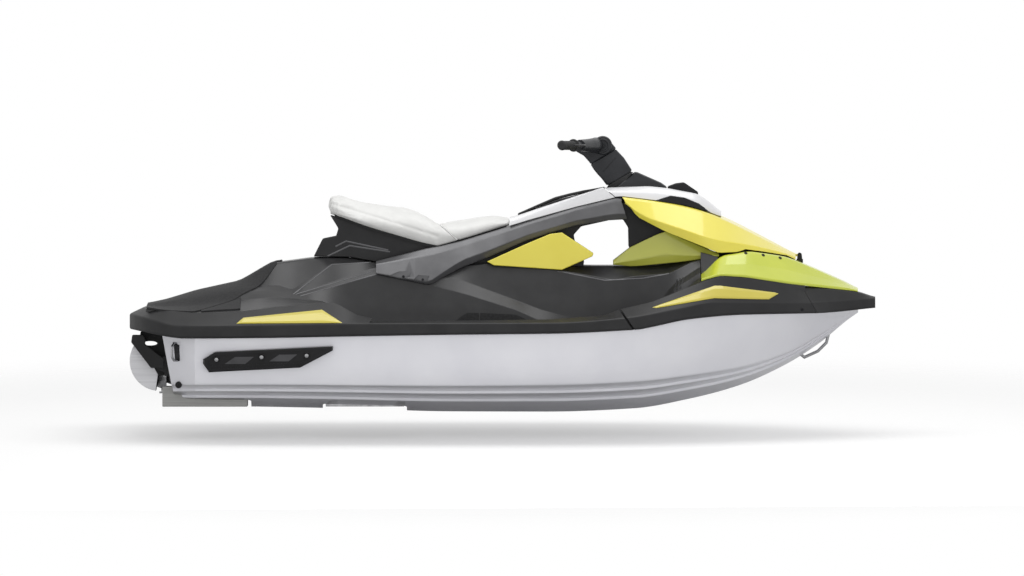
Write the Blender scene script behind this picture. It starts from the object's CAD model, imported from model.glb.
# %% [markdown]
# # A personal watercraft, modelled and finished step by step
#
# A compact sit-down personal watercraft: a white vee hull, a black bumper along
# its edge, a moulded deck with two footwells, an arched console, a stepped seat
# and yellow and lime panels over the bow. The CAD model gives the true sizes and
# the moving bodies. Here every visible piece gets its final shape and material.

# %% Load the CAD model
import math

import bmesh
import bpy
import numpy as np
from mathutils import Matrix, Vector


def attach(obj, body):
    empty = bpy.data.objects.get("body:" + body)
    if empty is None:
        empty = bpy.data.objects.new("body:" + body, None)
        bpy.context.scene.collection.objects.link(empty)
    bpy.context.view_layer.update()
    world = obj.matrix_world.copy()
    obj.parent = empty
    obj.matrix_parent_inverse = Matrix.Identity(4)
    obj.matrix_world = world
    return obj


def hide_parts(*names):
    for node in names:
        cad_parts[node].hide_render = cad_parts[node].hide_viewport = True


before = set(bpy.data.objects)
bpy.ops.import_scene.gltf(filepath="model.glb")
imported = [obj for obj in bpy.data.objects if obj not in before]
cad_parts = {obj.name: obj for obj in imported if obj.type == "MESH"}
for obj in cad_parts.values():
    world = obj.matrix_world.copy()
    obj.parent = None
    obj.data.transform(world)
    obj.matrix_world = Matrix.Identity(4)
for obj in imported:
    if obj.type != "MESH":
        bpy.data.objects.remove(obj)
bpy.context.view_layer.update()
bpy.ops.object.select_all(action="DESELECT")

# %% [markdown]
# ## Shares of the craft
#
# The CAD model was laid out in shares of its length, half beam and height, with
# the stern at 0 and the bow at 1. Working in the same shares keeps every new
# piece where its CAD solid is. A table of pairs is read on straight lines, on a
# fair curve that never overshoots, or on straight lines with softened corners.

# %% Shares and tables
LENGTH, BEAM, HEIGHT, DRAFT = 3.14, 1.13, 1.163, 0.20


def along(share):
    return (share - 0.5) * LENGTH


def level(share):
    return share * HEIGHT - DRAFT


def abreast(share):
    return share * BEAM / 2


def straight(table, share):
    """The value of a table of pairs at a share, on straight lines."""
    return float(np.interp(share, [p[0] for p in table], [p[1] for p in table]))


def soft(table, share, reach=0.006):
    """Like straight, with each corner of the table rounded over a short reach."""
    return sum(straight(table, share + reach * k / 2) for k in (-2, -1, 0, 1, 2)) / 5


def fair(table, share):
    """The value of a table of pairs on a curve that never overshoots its points."""
    xs, ys = [p[0] for p in table], [p[1] for p in table]
    if share <= xs[0]:
        return ys[0]
    if share >= xs[-1]:
        return ys[-1]
    slopes = [(ys[i + 1] - ys[i]) / (xs[i + 1] - xs[i]) for i in range(len(xs) - 1)]
    tangents = [slopes[0]]
    for before, after in zip(slopes, slopes[1:]):
        tangents.append(2 * before * after / (before + after) if before * after > 0 else 0)
    tangents.append(slopes[-1])
    i = max(k for k in range(len(xs) - 1) if xs[k] <= share)
    run = xs[i + 1] - xs[i]
    t = (share - xs[i]) / run
    return (
        ys[i] * (1 + 2 * t) * (1 - t) ** 2 + tangents[i] * run * t * (1 - t) ** 2
        + ys[i + 1] * t * t * (3 - 2 * t) + tangents[i + 1] * run * t * t * (t - 1)
    )


def stations(start, end, step=0.008):
    """Evenly spaced shares between two ends."""
    count = max(2, round((end - start) / step) + 1)
    return [start + (end - start) * k / (count - 1) for k in range(count)]


def placed(outline):
    """A side outline given in shares, in metres."""
    return [(along(x), level(z)) for x, z in outline]


def slice_at(share, corners):
    """The points of one cross-section, given as (y, z) in metres."""
    return [Vector((along(share), y, z)) for y, z in corners]


print("bow tip at x", round(along(1), 3), "keel at z", round(level(0), 3))

# %% [markdown]
# ## Outlines of the body
#
# These are the lines that a boat builder draws first: the half breadths of the
# deck and the chine, and the heights of keel, chine, sheer and gunwale.

# %% The lines of the hull and the gunwale
DECK_BREADTH = [
    (0.0, 0.50), (0.02, 0.68), (0.044, 0.79), (0.088, 0.875), (0.13, 0.90), (0.174, 0.91), (0.295, 0.945),
    (0.429, 0.965), (0.563, 0.965), (0.677, 0.93), (0.751, 0.84), (0.818, 0.70), (0.879, 0.525),
    (0.926, 0.345), (0.963, 0.19), (1.0, 0.035),
]
HULL_BREADTH = [(0.044, 0.66), (0.088, 0.86), (0.13, 0.90), (0.174, 0.91)] + DECK_BREADTH[6:]
SHEER = [
    (0.0, 0.304), (0.044, 0.281), (0.07, 0.272), (0.174, 0.274), (0.295, 0.280), (0.429, 0.286),
    (0.563, 0.290), (0.677, 0.305), (0.751, 0.342), (0.818, 0.357), (0.926, 0.362), (1.0, 0.379),
]
BAND = [
    (0.0, 0.358), (0.03, 0.337), (0.066, 0.316), (0.174, 0.319), (0.295, 0.324), (0.563, 0.326),
    (0.657, 0.342), (0.738, 0.380), (0.782, 0.402), (0.905, 0.399), (1.0, 0.411),
]
EDGE = [
    (0.0, 0.386), (0.044, 0.375), (0.083, 0.366), (0.147, 0.371), (0.199, 0.388), (0.273, 0.406),
    (0.320, 0.334), (0.563, 0.342), (0.640, 0.358), (0.700, 0.407), (0.770, 0.482), (0.791, 0.497),
    (0.825, 0.491), (0.885, 0.466), (0.976, 0.439), (1.0, 0.417),
]
KEEL = [
    (0.044, 0.024), (0.174, 0.020), (0.295, 0.013), (0.429, 0.003), (0.563, 0.002), (0.677, 0.014),
    (0.751, 0.049), (0.818, 0.098), (0.879, 0.172), (0.926, 0.252), (0.963, 0.335), (0.977, 0.362),
]
CHINE = [
    (0.044, 0.103), (0.174, 0.105), (0.429, 0.101), (0.563, 0.104), (0.677, 0.116), (0.751, 0.138),
    (0.818, 0.165), (0.879, 0.215), (0.926, 0.283), (0.963, 0.345), (0.977, 0.366),
]
CHINE_BREADTH = [
    (0.044, 0.60), (0.088, 0.80), (0.174, 0.85), (0.295, 0.885), (0.429, 0.89), (0.563, 0.875), (0.677, 0.80),
    (0.751, 0.68), (0.818, 0.51), (0.879, 0.33), (0.926, 0.17), (0.963, 0.06), (0.977, 0.02),
]
SIDE_FULLNESS = [(0.044, 0.72), (0.563, 0.78), (0.751, 0.62), (0.879, 0.45), (0.977, 0.40)]
FLANGE, FLARE, GAP = 0.90, 0.020, 0.0004


def half_breadth(share):
    return abreast(fair(DECK_BREADTH, share))


def sheer(share):
    return level(fair(SHEER, share))


def band(share):
    return level(fair(BAND, share))


def edge(share):
    return level(soft(EDGE, share))


print("widest half breadth", round(max(half_breadth(s) for s in stations(0, 1)), 3))

# %% [markdown]
# ## Two ways to make a skin
#
# A boat's panels are long forms whose section changes slowly. Each skin starts as
# a filled circle at its first section. In edit mode its face is extruded from
# section to section, and the new ring of points is set on the next section, as
# a modeller does with a side view behind the mesh. Sections are polygons whose
# corners are rounded, so real moulded radii catch the light.

# %% Helpers for sections and skins
def rounded(corners, radii, steps=3):
    """A closed section whose corners are rounded, each to its own radius."""
    points = []
    count = len(corners)
    for i in range(count):
        corner = Vector(corners[i])
        before, after = Vector(corners[i - 1]) - corner, Vector(corners[(i + 1) % count]) - corner
        radius = radii[i] if isinstance(radii, (list, tuple)) else radii
        start = corner + before.normalized() * min(radius, before.length * 0.45)
        end = corner + after.normalized() * min(radius, after.length * 0.45)
        for k in range(steps + 1):
            t = k / steps
            points.append(start * (1 - t) ** 2 + corner * 2 * t * (1 - t) + end * t * t)
    return points


def whole_ring(half, radii, steps=3):
    """A rounded ring round both sides, from its port half as (y, z), one centreline point to the other."""
    port = [Vector((0, y, z)) for y, z in half]
    starboard = [Vector((0, -y, z)) for y, z in half[1:-1]][::-1]
    return rounded(port + starboard, radii + radii[1:-1][::-1], steps)


def apply_modifiers(piece):
    bpy.ops.object.select_all(action="DESELECT")
    bpy.context.view_layer.objects.active = piece
    piece.select_set(True)
    for step in list(piece.modifiers):
        bpy.ops.object.modifier_apply(modifier=step.name)
    bpy.ops.object.select_all(action="DESELECT")
    return piece


def crisp(piece):
    """Lets the large faces set the shading, so that only the rounded edges catch the light."""
    step = piece.modifiers.new("weighting", "WEIGHTED_NORMAL")
    step.mode, step.weight, step.keep_sharp = "FACE_AREA", 80, True
    return apply_modifiers(piece)


def finish_piece(piece, material, smooth=32):
    """Merges doubles, turns faces outwards, smooths shallow edges and gives the material."""
    bpy.context.view_layer.objects.active = piece
    piece.select_set(True)
    bpy.ops.object.mode_set(mode="EDIT")
    bpy.ops.mesh.select_all(action="SELECT")
    bpy.ops.mesh.remove_doubles(threshold=0.00002)
    bpy.ops.mesh.normals_make_consistent(inside=False)
    bpy.ops.object.mode_set(mode="OBJECT")
    bpy.ops.object.transform_apply(location=True, rotation=True, scale=True)
    bpy.ops.object.shade_smooth_by_angle(angle=math.radians(smooth))
    piece.data.materials.clear()
    if material:
        piece.data.materials.append(material)
    return crisp(piece)


def skin(name, rings, material=None, smooth=32):
    """A closed skin, extruded in edit mode from one section to the next."""
    bpy.ops.object.select_all(action="DESELECT")
    bpy.ops.mesh.primitive_circle_add(vertices=len(rings[0]), radius=0.1, fill_type="NGON")
    piece = bpy.context.object
    piece.name = piece.data.name = name
    bpy.ops.object.mode_set(mode="EDIT")
    mesh = bmesh.from_edit_mesh(piece.data)
    place = mesh.verts.layers.int.new("place")
    for i, vert in enumerate(mesh.verts):
        vert[place], vert.co = i, rings[0][i]
    for ring in rings[1:]:
        bpy.ops.mesh.extrude_region_move()
        mesh = bmesh.from_edit_mesh(piece.data)
        place = mesh.verts.layers.int["place"]
        for vert in mesh.verts:
            if vert.select:
                vert.co = ring[vert[place]]
    bmesh.update_edit_mesh(piece.data)
    bpy.ops.object.mode_set(mode="OBJECT")
    return finish_piece(piece, material, smooth)


def bevelled(piece, width, segments=2, angle=30, smooth=40):
    """Rounds the sharp edges of a piece with a Bevel modifier, and applies it."""
    step = piece.modifiers.new("rounding", "BEVEL")
    step.width, step.segments, step.limit_method = width, segments, "ANGLE"
    step.angle_limit = math.radians(angle)
    apply_modifiers(piece)
    piece.select_set(True)
    bpy.context.view_layer.objects.active = piece
    bpy.ops.object.shade_smooth_by_angle(angle=math.radians(smooth))
    return crisp(piece)


def carve(piece, *tools, operation="DIFFERENCE"):
    """Cuts tools from a piece, or joins them to it, with Boolean modifiers."""
    for tool in tools:
        step = piece.modifiers.new(tool.name, "BOOLEAN")
        step.operation, step.solver, step.object = operation, "EXACT", tool
    apply_modifiers(piece)
    for tool in tools:
        bpy.data.objects.remove(tool)
    return piece


def panel(name, outline, low, high, material=None, bevel=0.0, segments=2):
    """A flat panel: a filled circle set on an outline, extruded in edit mode and bevelled."""
    bpy.ops.object.select_all(action="DESELECT")
    bpy.ops.mesh.primitive_circle_add(vertices=len(outline), radius=0.1, fill_type="NGON")
    piece = bpy.context.object
    piece.name = piece.data.name = name
    for vert, (x, z) in zip(piece.data.vertices, outline):
        vert.co = (x, low, z)
    bpy.ops.object.mode_set(mode="EDIT")
    bpy.ops.mesh.select_all(action="SELECT")
    bpy.ops.mesh.extrude_region_move(TRANSFORM_OT_translate={"value": (0, high - low, 0)})
    bpy.ops.object.mode_set(mode="OBJECT")
    finish_piece(piece, material)
    return bevelled(piece, bevel, segments) if bevel else piece


def block(name, low, high, material=None, bevel=0.0, segments=2):
    """A box between two corners with its edges rounded."""
    outline = [(low[0], low[2]), (high[0], low[2]), (high[0], high[2]), (low[0], high[2])]
    return panel(name, outline, low[1], high[1], material, bevel, segments)


def crosswise(name, start, end, half_width, low, high, bevel, material=None):
    """A rounded block across the centreline, its ends and heights given in shares."""
    near, far = (along(start), -half_width, level(low)), (along(end), half_width, level(high))
    return block(name, near, far, material, bevel)


def bar(name, points, radii, material=None, sides=16, smooth=40):
    """A round bar along points, extruded ring by ring, with a radius at each point."""
    points = [Vector(p) for p in points]
    radii = radii if isinstance(radii, (list, tuple)) else [radii] * len(points)
    turns = [math.tau * k / sides for k in range(sides)]
    rings = []
    heading = (points[1] - points[0]).normalized()
    side = heading.orthogonal().normalized()
    for i, point in enumerate(points):
        before = (point - points[i - 1]).normalized() if i else heading
        after = (points[i + 1] - point).normalized() if i + 1 < len(points) else before
        mean = (before + after).normalized() if (before + after).length > 1e-6 else before
        side = (side - mean * side.dot(mean)).normalized()
        across = mean.cross(side)
        rings.append([point + (side * math.cos(a) + across * math.sin(a)) * radii[i] for a in turns])
    return skin(name, rings, material, smooth)


def eased(points, count=8):
    """A smooth route through a few points, on a Catmull-Rom curve."""
    points = [Vector(p) for p in points]
    padded = [points[0] * 2 - points[1]] + points + [points[-1] * 2 - points[-2]]
    route = []
    for i in range(1, len(padded) - 2):
        a, b, c, d = padded[i - 1 : i + 3]
        for k in range(count):
            t = k / count
            bent = 2 * b + (c - a) * t + (2 * a - 5 * b + 4 * c - d) * t * t
            route.append(0.5 * (bent + (3 * b - a - 3 * c + d) * t ** 3))
    return route + [points[-1]]


def turned(name, profile, origin, axis, material=None, sides=20, smooth=40):
    """A turned piece: rings of (distance, radius) on an axis. A ring that goes back forms a recess."""
    axis = Vector(axis).normalized()
    side = axis.orthogonal().normalized()
    across = axis.cross(side)
    turns = [math.tau * k / sides for k in range(sides)]
    rings = []
    for distance, radius in profile:
        centre = Vector(origin) + axis * distance
        rings.append([centre + (side * math.cos(a) + across * math.sin(a)) * radius for a in turns])
    return skin(name, rings, material, smooth)


def bolt(name, origin, axis, radius, material, sides=18):
    """A domed screw head with a socket, its underside sunk a little."""
    profile = [
        (-0.3 * radius, 0.95 * radius), (0.15 * radius, radius), (0.45 * radius, 0.85 * radius),
        (0.6 * radius, 0.5 * radius),
        (0.6 * radius, 0.38 * radius), (0.2 * radius, 0.36 * radius),
    ]
    return turned(name, profile, origin, axis, material, sides)


def joined(name, *pieces):
    """Joins pieces that share a body and a finish into one object."""
    bpy.ops.object.select_all(action="DESELECT")
    for piece in pieces:
        piece.select_set(True)
    bpy.context.view_layer.objects.active = pieces[0]
    bpy.ops.object.join()
    pieces[0].name = pieces[0].data.name = name
    bpy.ops.object.select_all(action="DESELECT")
    return pieces[0]


def touch(piece, share, height, side=-1):
    """Where a piece's side is met from outside, at shares of length and height, and which way it faces."""
    start = Vector((along(share), side * 1.2, level(height)))
    found, place, normal, _ = piece.ray_cast(start, Vector((0, -side, 0)))
    if not found:
        raise ValueError(piece.name + " isn't met at " + str((share, height)))
    return place, normal


def bolts_on(name, piece, places, radius, material, lift=0.0):
    """Screws on both sides of a piece, joined into one object."""
    screws = []
    for share, height in places:
        for side in (-1, 1):
            place, normal = touch(piece, share, height, side)
            screws.append(bolt("screw", place + normal * lift, normal, radius, material))
    return joined(name, *screws)


def plate(name, piece, outline, lift, material, side=-1, sink=0.002):
    """A thin plate that lies on the side of a piece, its outline given in shares of length and height."""
    under, upper = [], []
    for share, height in outline:
        place, normal = touch(piece, share, height, side)
        under.append(place - normal * sink)
        upper.append(place + normal * lift)
    return skin(name, [under, upper], material, 30)


def rib(name, piece, line, width, lift, material, side=-1):
    """A low rib along a line on the side of a piece, with a rounded top."""
    spots = []
    for (x0, z0), (x1, z1) in zip(line[:-1], line[1:]):
        count = max(1, round(math.hypot((x1 - x0) * LENGTH, (z1 - z0) * HEIGHT) / 0.02))
        spots += [
            touch(piece, x0 + (x1 - x0) * k / count, z0 + (z1 - z0) * k / count, side) for k in range(count)
        ]
    spots.append(touch(piece, *line[-1], side))
    rings = []
    for k, (place, normal) in enumerate(spots):
        run = (spots[min(k + 1, len(spots) - 1)][0] - spots[max(k - 1, 0)][0]).normalized()
        across = normal.cross(run).normalized() * 0.5 * width
        rings.append([
            place - across - normal * 0.001, place - across + normal * 0.3 * lift, place + normal * lift,
            place + across + normal * 0.3 * lift, place + across - normal * 0.001,
        ])
    return skin(name, rings, material, 30)


def ribs_on(name, piece, lines, width, lift, material):
    """Ribs along lines on both sides of a piece, joined into one object."""
    ribs = [rib("rib", piece, line, width, lift, material, side) for line in lines for side in (-1, 1)]
    return joined(name, *ribs)


def side_plates(name, piece, outline, lift, material):
    """The same plate on both sides of a piece."""
    return joined(name, *[plate("side", piece, outline, lift, material, side) for side in (-1, 1)])


def rounded_copy(node, material, width, segments=2):
    """A copy of a CAD solid with its edges rounded over."""
    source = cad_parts[node]
    piece = bpy.data.objects.new(node + "_rounded", source.data.copy())
    piece.data.transform(source.matrix_world)
    bpy.context.scene.collection.objects.link(piece)
    bpy.ops.object.select_all(action="DESELECT")
    bpy.context.view_layer.objects.active = piece
    piece.select_set(True)
    bpy.ops.object.mode_set(mode="EDIT")
    bpy.ops.mesh.select_all(action="SELECT")
    bpy.ops.mesh.remove_doubles(threshold=0.00005)
    bpy.ops.object.mode_set(mode="OBJECT")
    bevelled(piece, width, segments)
    return finish_piece(piece, material, 35)


def other_side(piece, name):
    """A copy of a port piece on the starboard side, or the other way round, with its own mesh."""
    twin = piece.copy()
    twin.data = piece.data.copy()
    twin.name = twin.data.name = name
    bpy.context.scene.collection.objects.link(twin)
    twin.data.transform(Matrix.Diagonal((1, -1, 1, 1)))
    bpy.context.view_layer.objects.active = twin
    bpy.ops.object.select_all(action="DESELECT")
    twin.select_set(True)
    bpy.ops.object.mode_set(mode="EDIT")
    bpy.ops.mesh.select_all(action="SELECT")
    bpy.ops.mesh.flip_normals()
    bpy.ops.object.mode_set(mode="OBJECT")
    bpy.ops.mesh.customdata_custom_splitnormals_clear()
    return crisp(twin)


def seat_piece(piece, body, slot, *nodes):
    """Makes a finished piece ride on its body, names its finish and hides the solids that it stands for."""
    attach(piece, body)
    if nodes:
        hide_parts(*nodes)
    print(piece.name, len(piece.data.polygons), "faces on", body)


def seat_pair(piece, body, slot, node=None):
    """Seats a port piece and its starboard twin, which stand for a left and a right solid."""
    twin = other_side(piece, piece.name.replace("port", "starboard"))
    seat_piece(piece, body, slot, *([node + "_left"] if node else []))
    seat_piece(twin, body, slot, *([node + "_right"] if node else []))


# %% [markdown]
# ## Materials
#
# Each finish starts from what the real surface is: sprayed gelcoat, grained
# polypropylene, painted ABS, marine vinyl, EVA foam, rubber, cast and sheet
# metal. Colours are written as sRGB hex, and one function turns them to linear.

# %% Helpers for materials
def linear(hex_colour):
    """Linear RGBA from an sRGB hex colour."""
    channels = [int(hex_colour[i : i + 2], 16) / 255 for i in (0, 2, 4)]
    return [c / 12.92 if c <= 0.04045 else ((c + 0.055) / 1.055) ** 2.4 for c in channels] + [1]


def add_node(tree, kind, links=None, **settings):
    """Adds a node, sets its properties and input values, and links its inputs."""
    node = tree.nodes.new(kind)
    for name, value in settings.items():
        if hasattr(node, name):
            setattr(node, name, value)
        else:
            node.inputs[name.replace("_", " ")].default_value = value
    for name, source in (links or {}).items():
        tree.links.new(source, node.inputs[name])
    return node


def new_material(name, hex_colour, roughness, metallic=0.0, coat=0.0, coat_roughness=0.05):
    """A Principled material and its tree, with Object coordinates ready."""
    made = bpy.data.materials.new(name)
    made.use_nodes = True
    shader = made.node_tree.nodes["Principled BSDF"]
    shader.inputs["Base Color"].default_value = linear(hex_colour)
    shader.inputs["Roughness"].default_value = roughness
    shader.inputs["Metallic"].default_value = metallic
    shader.inputs["Coat Weight"].default_value = coat
    shader.inputs["Coat Roughness"].default_value = coat_roughness
    made.diffuse_color = linear(hex_colour)
    place = add_node(made.node_tree, "ShaderNodeTexCoord").outputs["Object"]
    return made, made.node_tree, shader, place


def mottled(tree, shader, place, low_hex, high_hex, size_mm, detail=3.0):
    """Colour that drifts between two close tones over patches of a real size."""
    noise = add_node(tree, "ShaderNodeTexNoise", {"Vector": place}, Scale=1000 / size_mm, Detail=detail)
    ramp = add_node(tree, "ShaderNodeValToRGB", {"Fac": noise.outputs["Fac"]})
    ramp.color_ramp.elements[0].position, ramp.color_ramp.elements[1].position = 0.35, 0.65
    ramp.color_ramp.elements[0].color, ramp.color_ramp.elements[1].color = linear(low_hex), linear(high_hex)
    tree.links.new(ramp.outputs["Color"], shader.inputs["Base Color"])


def varied_roughness(tree, shader, place, low, high, size_mm):
    """Roughness that drifts a little, as on any handled surface."""
    noise = add_node(tree, "ShaderNodeTexNoise", {"Vector": place}, Scale=1000 / size_mm, Detail=4.0)
    span = add_node(tree, "ShaderNodeMapRange", {"Value": noise.outputs["Fac"]})
    span.inputs["To Min"].default_value, span.inputs["To Max"].default_value = low, high
    tree.links.new(span.outputs["Result"], shader.inputs["Roughness"])


def bump(tree, shader, height, depth_mm, strength=1.0):
    """Raises the surface by a height map, at most by a real depth."""
    node = add_node(tree, "ShaderNodeBump", {"Height": height}, Strength=strength, Distance=depth_mm / 1000)
    tree.links.new(node.outputs["Normal"], shader.inputs["Normal"])


# %% [markdown]
# ### Gelcoat
#
# The hull is glass-fibre with a sprayed white gelcoat, polished in the mould. It
# shows a soft gloss under a clear layer and an orange peel too faint to see
# except in reflections, about 6 mm across.

# %% White gelcoat
def make_gelcoat():
    made, tree, shader, place = new_material("white gelcoat", "DADADF", 0.32, coat=0.5, coat_roughness=0.08)
    mottled(tree, shader, place, "D6D6DC", "DDDDE2", 260)
    peel = add_node(tree, "ShaderNodeTexNoise", {"Vector": place}, Scale=160.0, Detail=2.0)
    bump(tree, shader, peel.outputs["Fac"], 0.05, 0.25)
    return made


GELCOAT = make_gelcoat()

# %% [markdown]
# ### Moulded plastics
#
# Deck, gunwale and console are moulded polypropylene and ABS with a spark-eroded
# grain. The grain is about 0.6 mm on the real part and is drawn a little coarser
# so that it shows. The deck has a satin, slightly metallic charcoal finish.

# %% Moulded plastics
def make_moulded(name, low_hex, high_hex, roughness, grain_mm, depth_mm, metallic=0.0, specular=0.3):
    made, tree, shader, place = new_material(name, high_hex, roughness, metallic)
    shader.inputs["Specular IOR Level"].default_value = specular
    mottled(tree, shader, place, low_hex, high_hex, 90)
    varied_roughness(tree, shader, place, roughness - 0.05, roughness + 0.06, 140)
    grain = add_node(tree, "ShaderNodeTexVoronoi", {"Vector": place}, Scale=1000 / grain_mm)
    bump(tree, shader, grain.outputs["Distance"], depth_mm, 0.5)
    return made


DECK_PLASTIC = make_moulded("satin charcoal deck laminate", "29292A", "303031", 0.34, 1.6, 0.02, 0.2, 0.45)
GUNWALE_PLASTIC = make_moulded("grained black polypropylene", "1E1E1F", "252526", 0.40, 1.8, 0.05)
BUMPER_PLASTIC = make_moulded("black thermoplastic bumper", "1D1D1E", "242425", 0.42, 1.8, 0.05)
ARM_PLASTIC = make_moulded("graphite painted console arm", "5A5A5C", "646466", 0.34, 1.4, 0.015, 0.3, 0.5)
CONSOLE_PLASTIC = make_moulded("black console abs", "151516", "1B1B1C", 0.42, 1.6, 0.04, 0.0, 0.25)
COLUMN_PLASTIC = make_moulded("black column abs", "242528", "2D2E31", 0.36, 1.6, 0.03)
SPONSON_PLASTIC = make_moulded("black sponson nylon", "121213", "18181A", 0.40, 1.6, 0.04, 0.0, 0.25)
RECESS_PLASTIC = make_moulded("grey textured nylon", "3F3F41", "4A4A4C", 0.6, 1.2, 0.06, 0.0, 0.25)

# %% [markdown]
# ### Painted panels
#
# The hood, knee panels and inserts are ABS with a yellow paint under clear coat,
# and the bow fairing is the same in lime. Fine flake makes the colour shift
# slightly from place to place, and the clear coat gives a sharp highlight.

# %% Yellow and lime paint
def make_paint(name, low_hex, high_hex, roughness=0.35):
    made, tree, shader, place = new_material(name, high_hex, roughness, 0.0, 0.7, 0.06)
    mottled(tree, shader, place, low_hex, high_hex, 180)
    peel = add_node(tree, "ShaderNodeTexNoise", {"Vector": place}, Scale=220.0, Detail=2.0)
    bump(tree, shader, peel.outputs["Fac"], 0.04, 0.2)
    return made


YELLOW_PAINT = make_paint("yellow painted abs", "E3D549", "E7DA50")
INSERT_PAINT = make_paint("yellow painted insert", "C6B843", "CCBE48")
LIME_PAINT = make_paint("lime painted abs", "BEC836", "C6CF3E")
OLIVE_PAINT = make_paint("shaded lime abs", "A8AA42", "B0B148")
WHITE_PAINT = make_paint("white painted abs", "DADADC", "DFDFE1", 0.3)

# %% [markdown]
# ### Soft and metal finishes
#
# Marine vinyl has a leather-like grain of 1 to 2 mm. EVA foam mats are matt with
# fine pores. Grips are ribbed rubber. The pump is cast and machined aluminium,
# the ride plate is brushed sheet, and the loops and bolts are stainless steel.

# %% Vinyl, foam, rubber and metals
def make_vinyl():
    made, tree, shader, place = new_material("white marine vinyl", "DEDEDC", 0.55)
    mottled(tree, shader, place, "DADAD8", "E0E0DE", 60)
    grain = add_node(tree, "ShaderNodeTexVoronoi", {"Vector": place}, Scale=520.0, feature="DISTANCE_TO_EDGE")
    bump(tree, shader, grain.outputs["Distance"], 0.12, 0.35)
    return made


def make_foam():
    made, tree, shader, place = new_material("black eva foam", "232324", 0.88)
    mottled(tree, shader, place, "1E1E1F", "2A2A2B", 8)
    pores = add_node(tree, "ShaderNodeTexVoronoi", {"Vector": place}, Scale=400.0)
    bump(tree, shader, pores.outputs["Distance"], 0.25, 0.6)
    return made


def make_rubber():
    made, tree, shader, place = new_material("black grip rubber", "1C1C1D", 0.7)
    mottled(tree, shader, place, "191919", "222223", 20)
    fine = add_node(tree, "ShaderNodeTexNoise", {"Vector": place}, Scale=900.0, Detail=3.0)
    bump(tree, shader, fine.outputs["Fac"], 0.08, 0.5)
    return made


def make_brushed(name, low_hex, high_hex, roughness, stretch=(4.0, 400.0, 400.0)):
    """Sheet or machined metal with fine scratches that run one way."""
    made, tree, shader, place = new_material(name, high_hex, roughness, 1.0)
    spread = add_node(tree, "ShaderNodeMapping", {"Vector": place}, Scale=stretch)
    scratch = add_node(
        tree, "ShaderNodeTexNoise", {"Vector": spread.outputs["Vector"]}, Scale=1.0, Detail=4.0
    )
    ramp = add_node(tree, "ShaderNodeValToRGB", {"Fac": scratch.outputs["Fac"]})
    ramp.color_ramp.elements[0].position, ramp.color_ramp.elements[1].position = 0.3, 0.7
    ramp.color_ramp.elements[0].color, ramp.color_ramp.elements[1].color = linear(low_hex), linear(high_hex)
    tree.links.new(ramp.outputs["Color"], shader.inputs["Base Color"])
    bump(tree, shader, scratch.outputs["Fac"], 0.05, 0.3)
    return made


def make_cast(name, low_hex, high_hex, roughness):
    """Cast metal with the fine pebble of a sand or shell mould."""
    made, tree, shader, place = new_material(name, high_hex, roughness, 1.0)
    mottled(tree, shader, place, low_hex, high_hex, 25)
    pebble = add_node(tree, "ShaderNodeTexNoise", {"Vector": place}, Scale=500.0, Detail=3.0)
    bump(tree, shader, pebble.outputs["Fac"], 0.15, 0.5)
    return made


VINYL, FOAM, RUBBER = make_vinyl(), make_foam(), make_rubber()
SHEET_METAL = make_brushed("brushed aluminium sheet", "8E8E8C", "A5A5A3", 0.42)
STEEL = make_brushed("polished stainless steel", "8A8A8C", "B0B0B2", 0.25, (300.0, 300.0, 300.0))
CAST_METAL = make_cast("cast aluminium", "9C9C9E", "BEBEC0", 0.33)
DARK_METAL = make_cast("black coated casting", "2B2B2D", "3A3A3C", 0.45)
print(len(bpy.data.materials), "materials")

# %% [markdown]
# ## Camera, floor and light
#
# The camera stands far off the starboard side with a long lens, as for a
# catalogue view, almost level with the deck. The floor is just under the keel and
# white to the camera, but it keeps the soft shadow. The light is a pale world, one
# large soft lamp overhead and a low card that fills the hull's side, at a level
# where colours read as written.

# %% Camera
def make_camera():
    lens, distance, rise = 850.0, 102.0, math.radians(0.45)
    data = bpy.data.cameras.new("side camera")
    data.lens, data.sensor_width, data.clip_end = lens, 36.0, 400.0
    camera = bpy.data.objects.new("side camera", data)
    bpy.context.scene.collection.objects.link(camera)
    target = Vector((0.038, 0.0, 0.3246))
    back = Vector((0, -math.cos(rise), math.sin(rise)))
    camera.location = target + back * distance
    camera.rotation_euler = (-back).to_track_quat("-Z", "Y").to_euler()
    bpy.context.scene.camera = camera
    return camera


camera = make_camera()
print("camera", [round(v, 2) for v in camera.location])

# %% Floor, world and lamps
FLOOR_DROP, FLOOR_TILT = 0.10, 4.0


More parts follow.
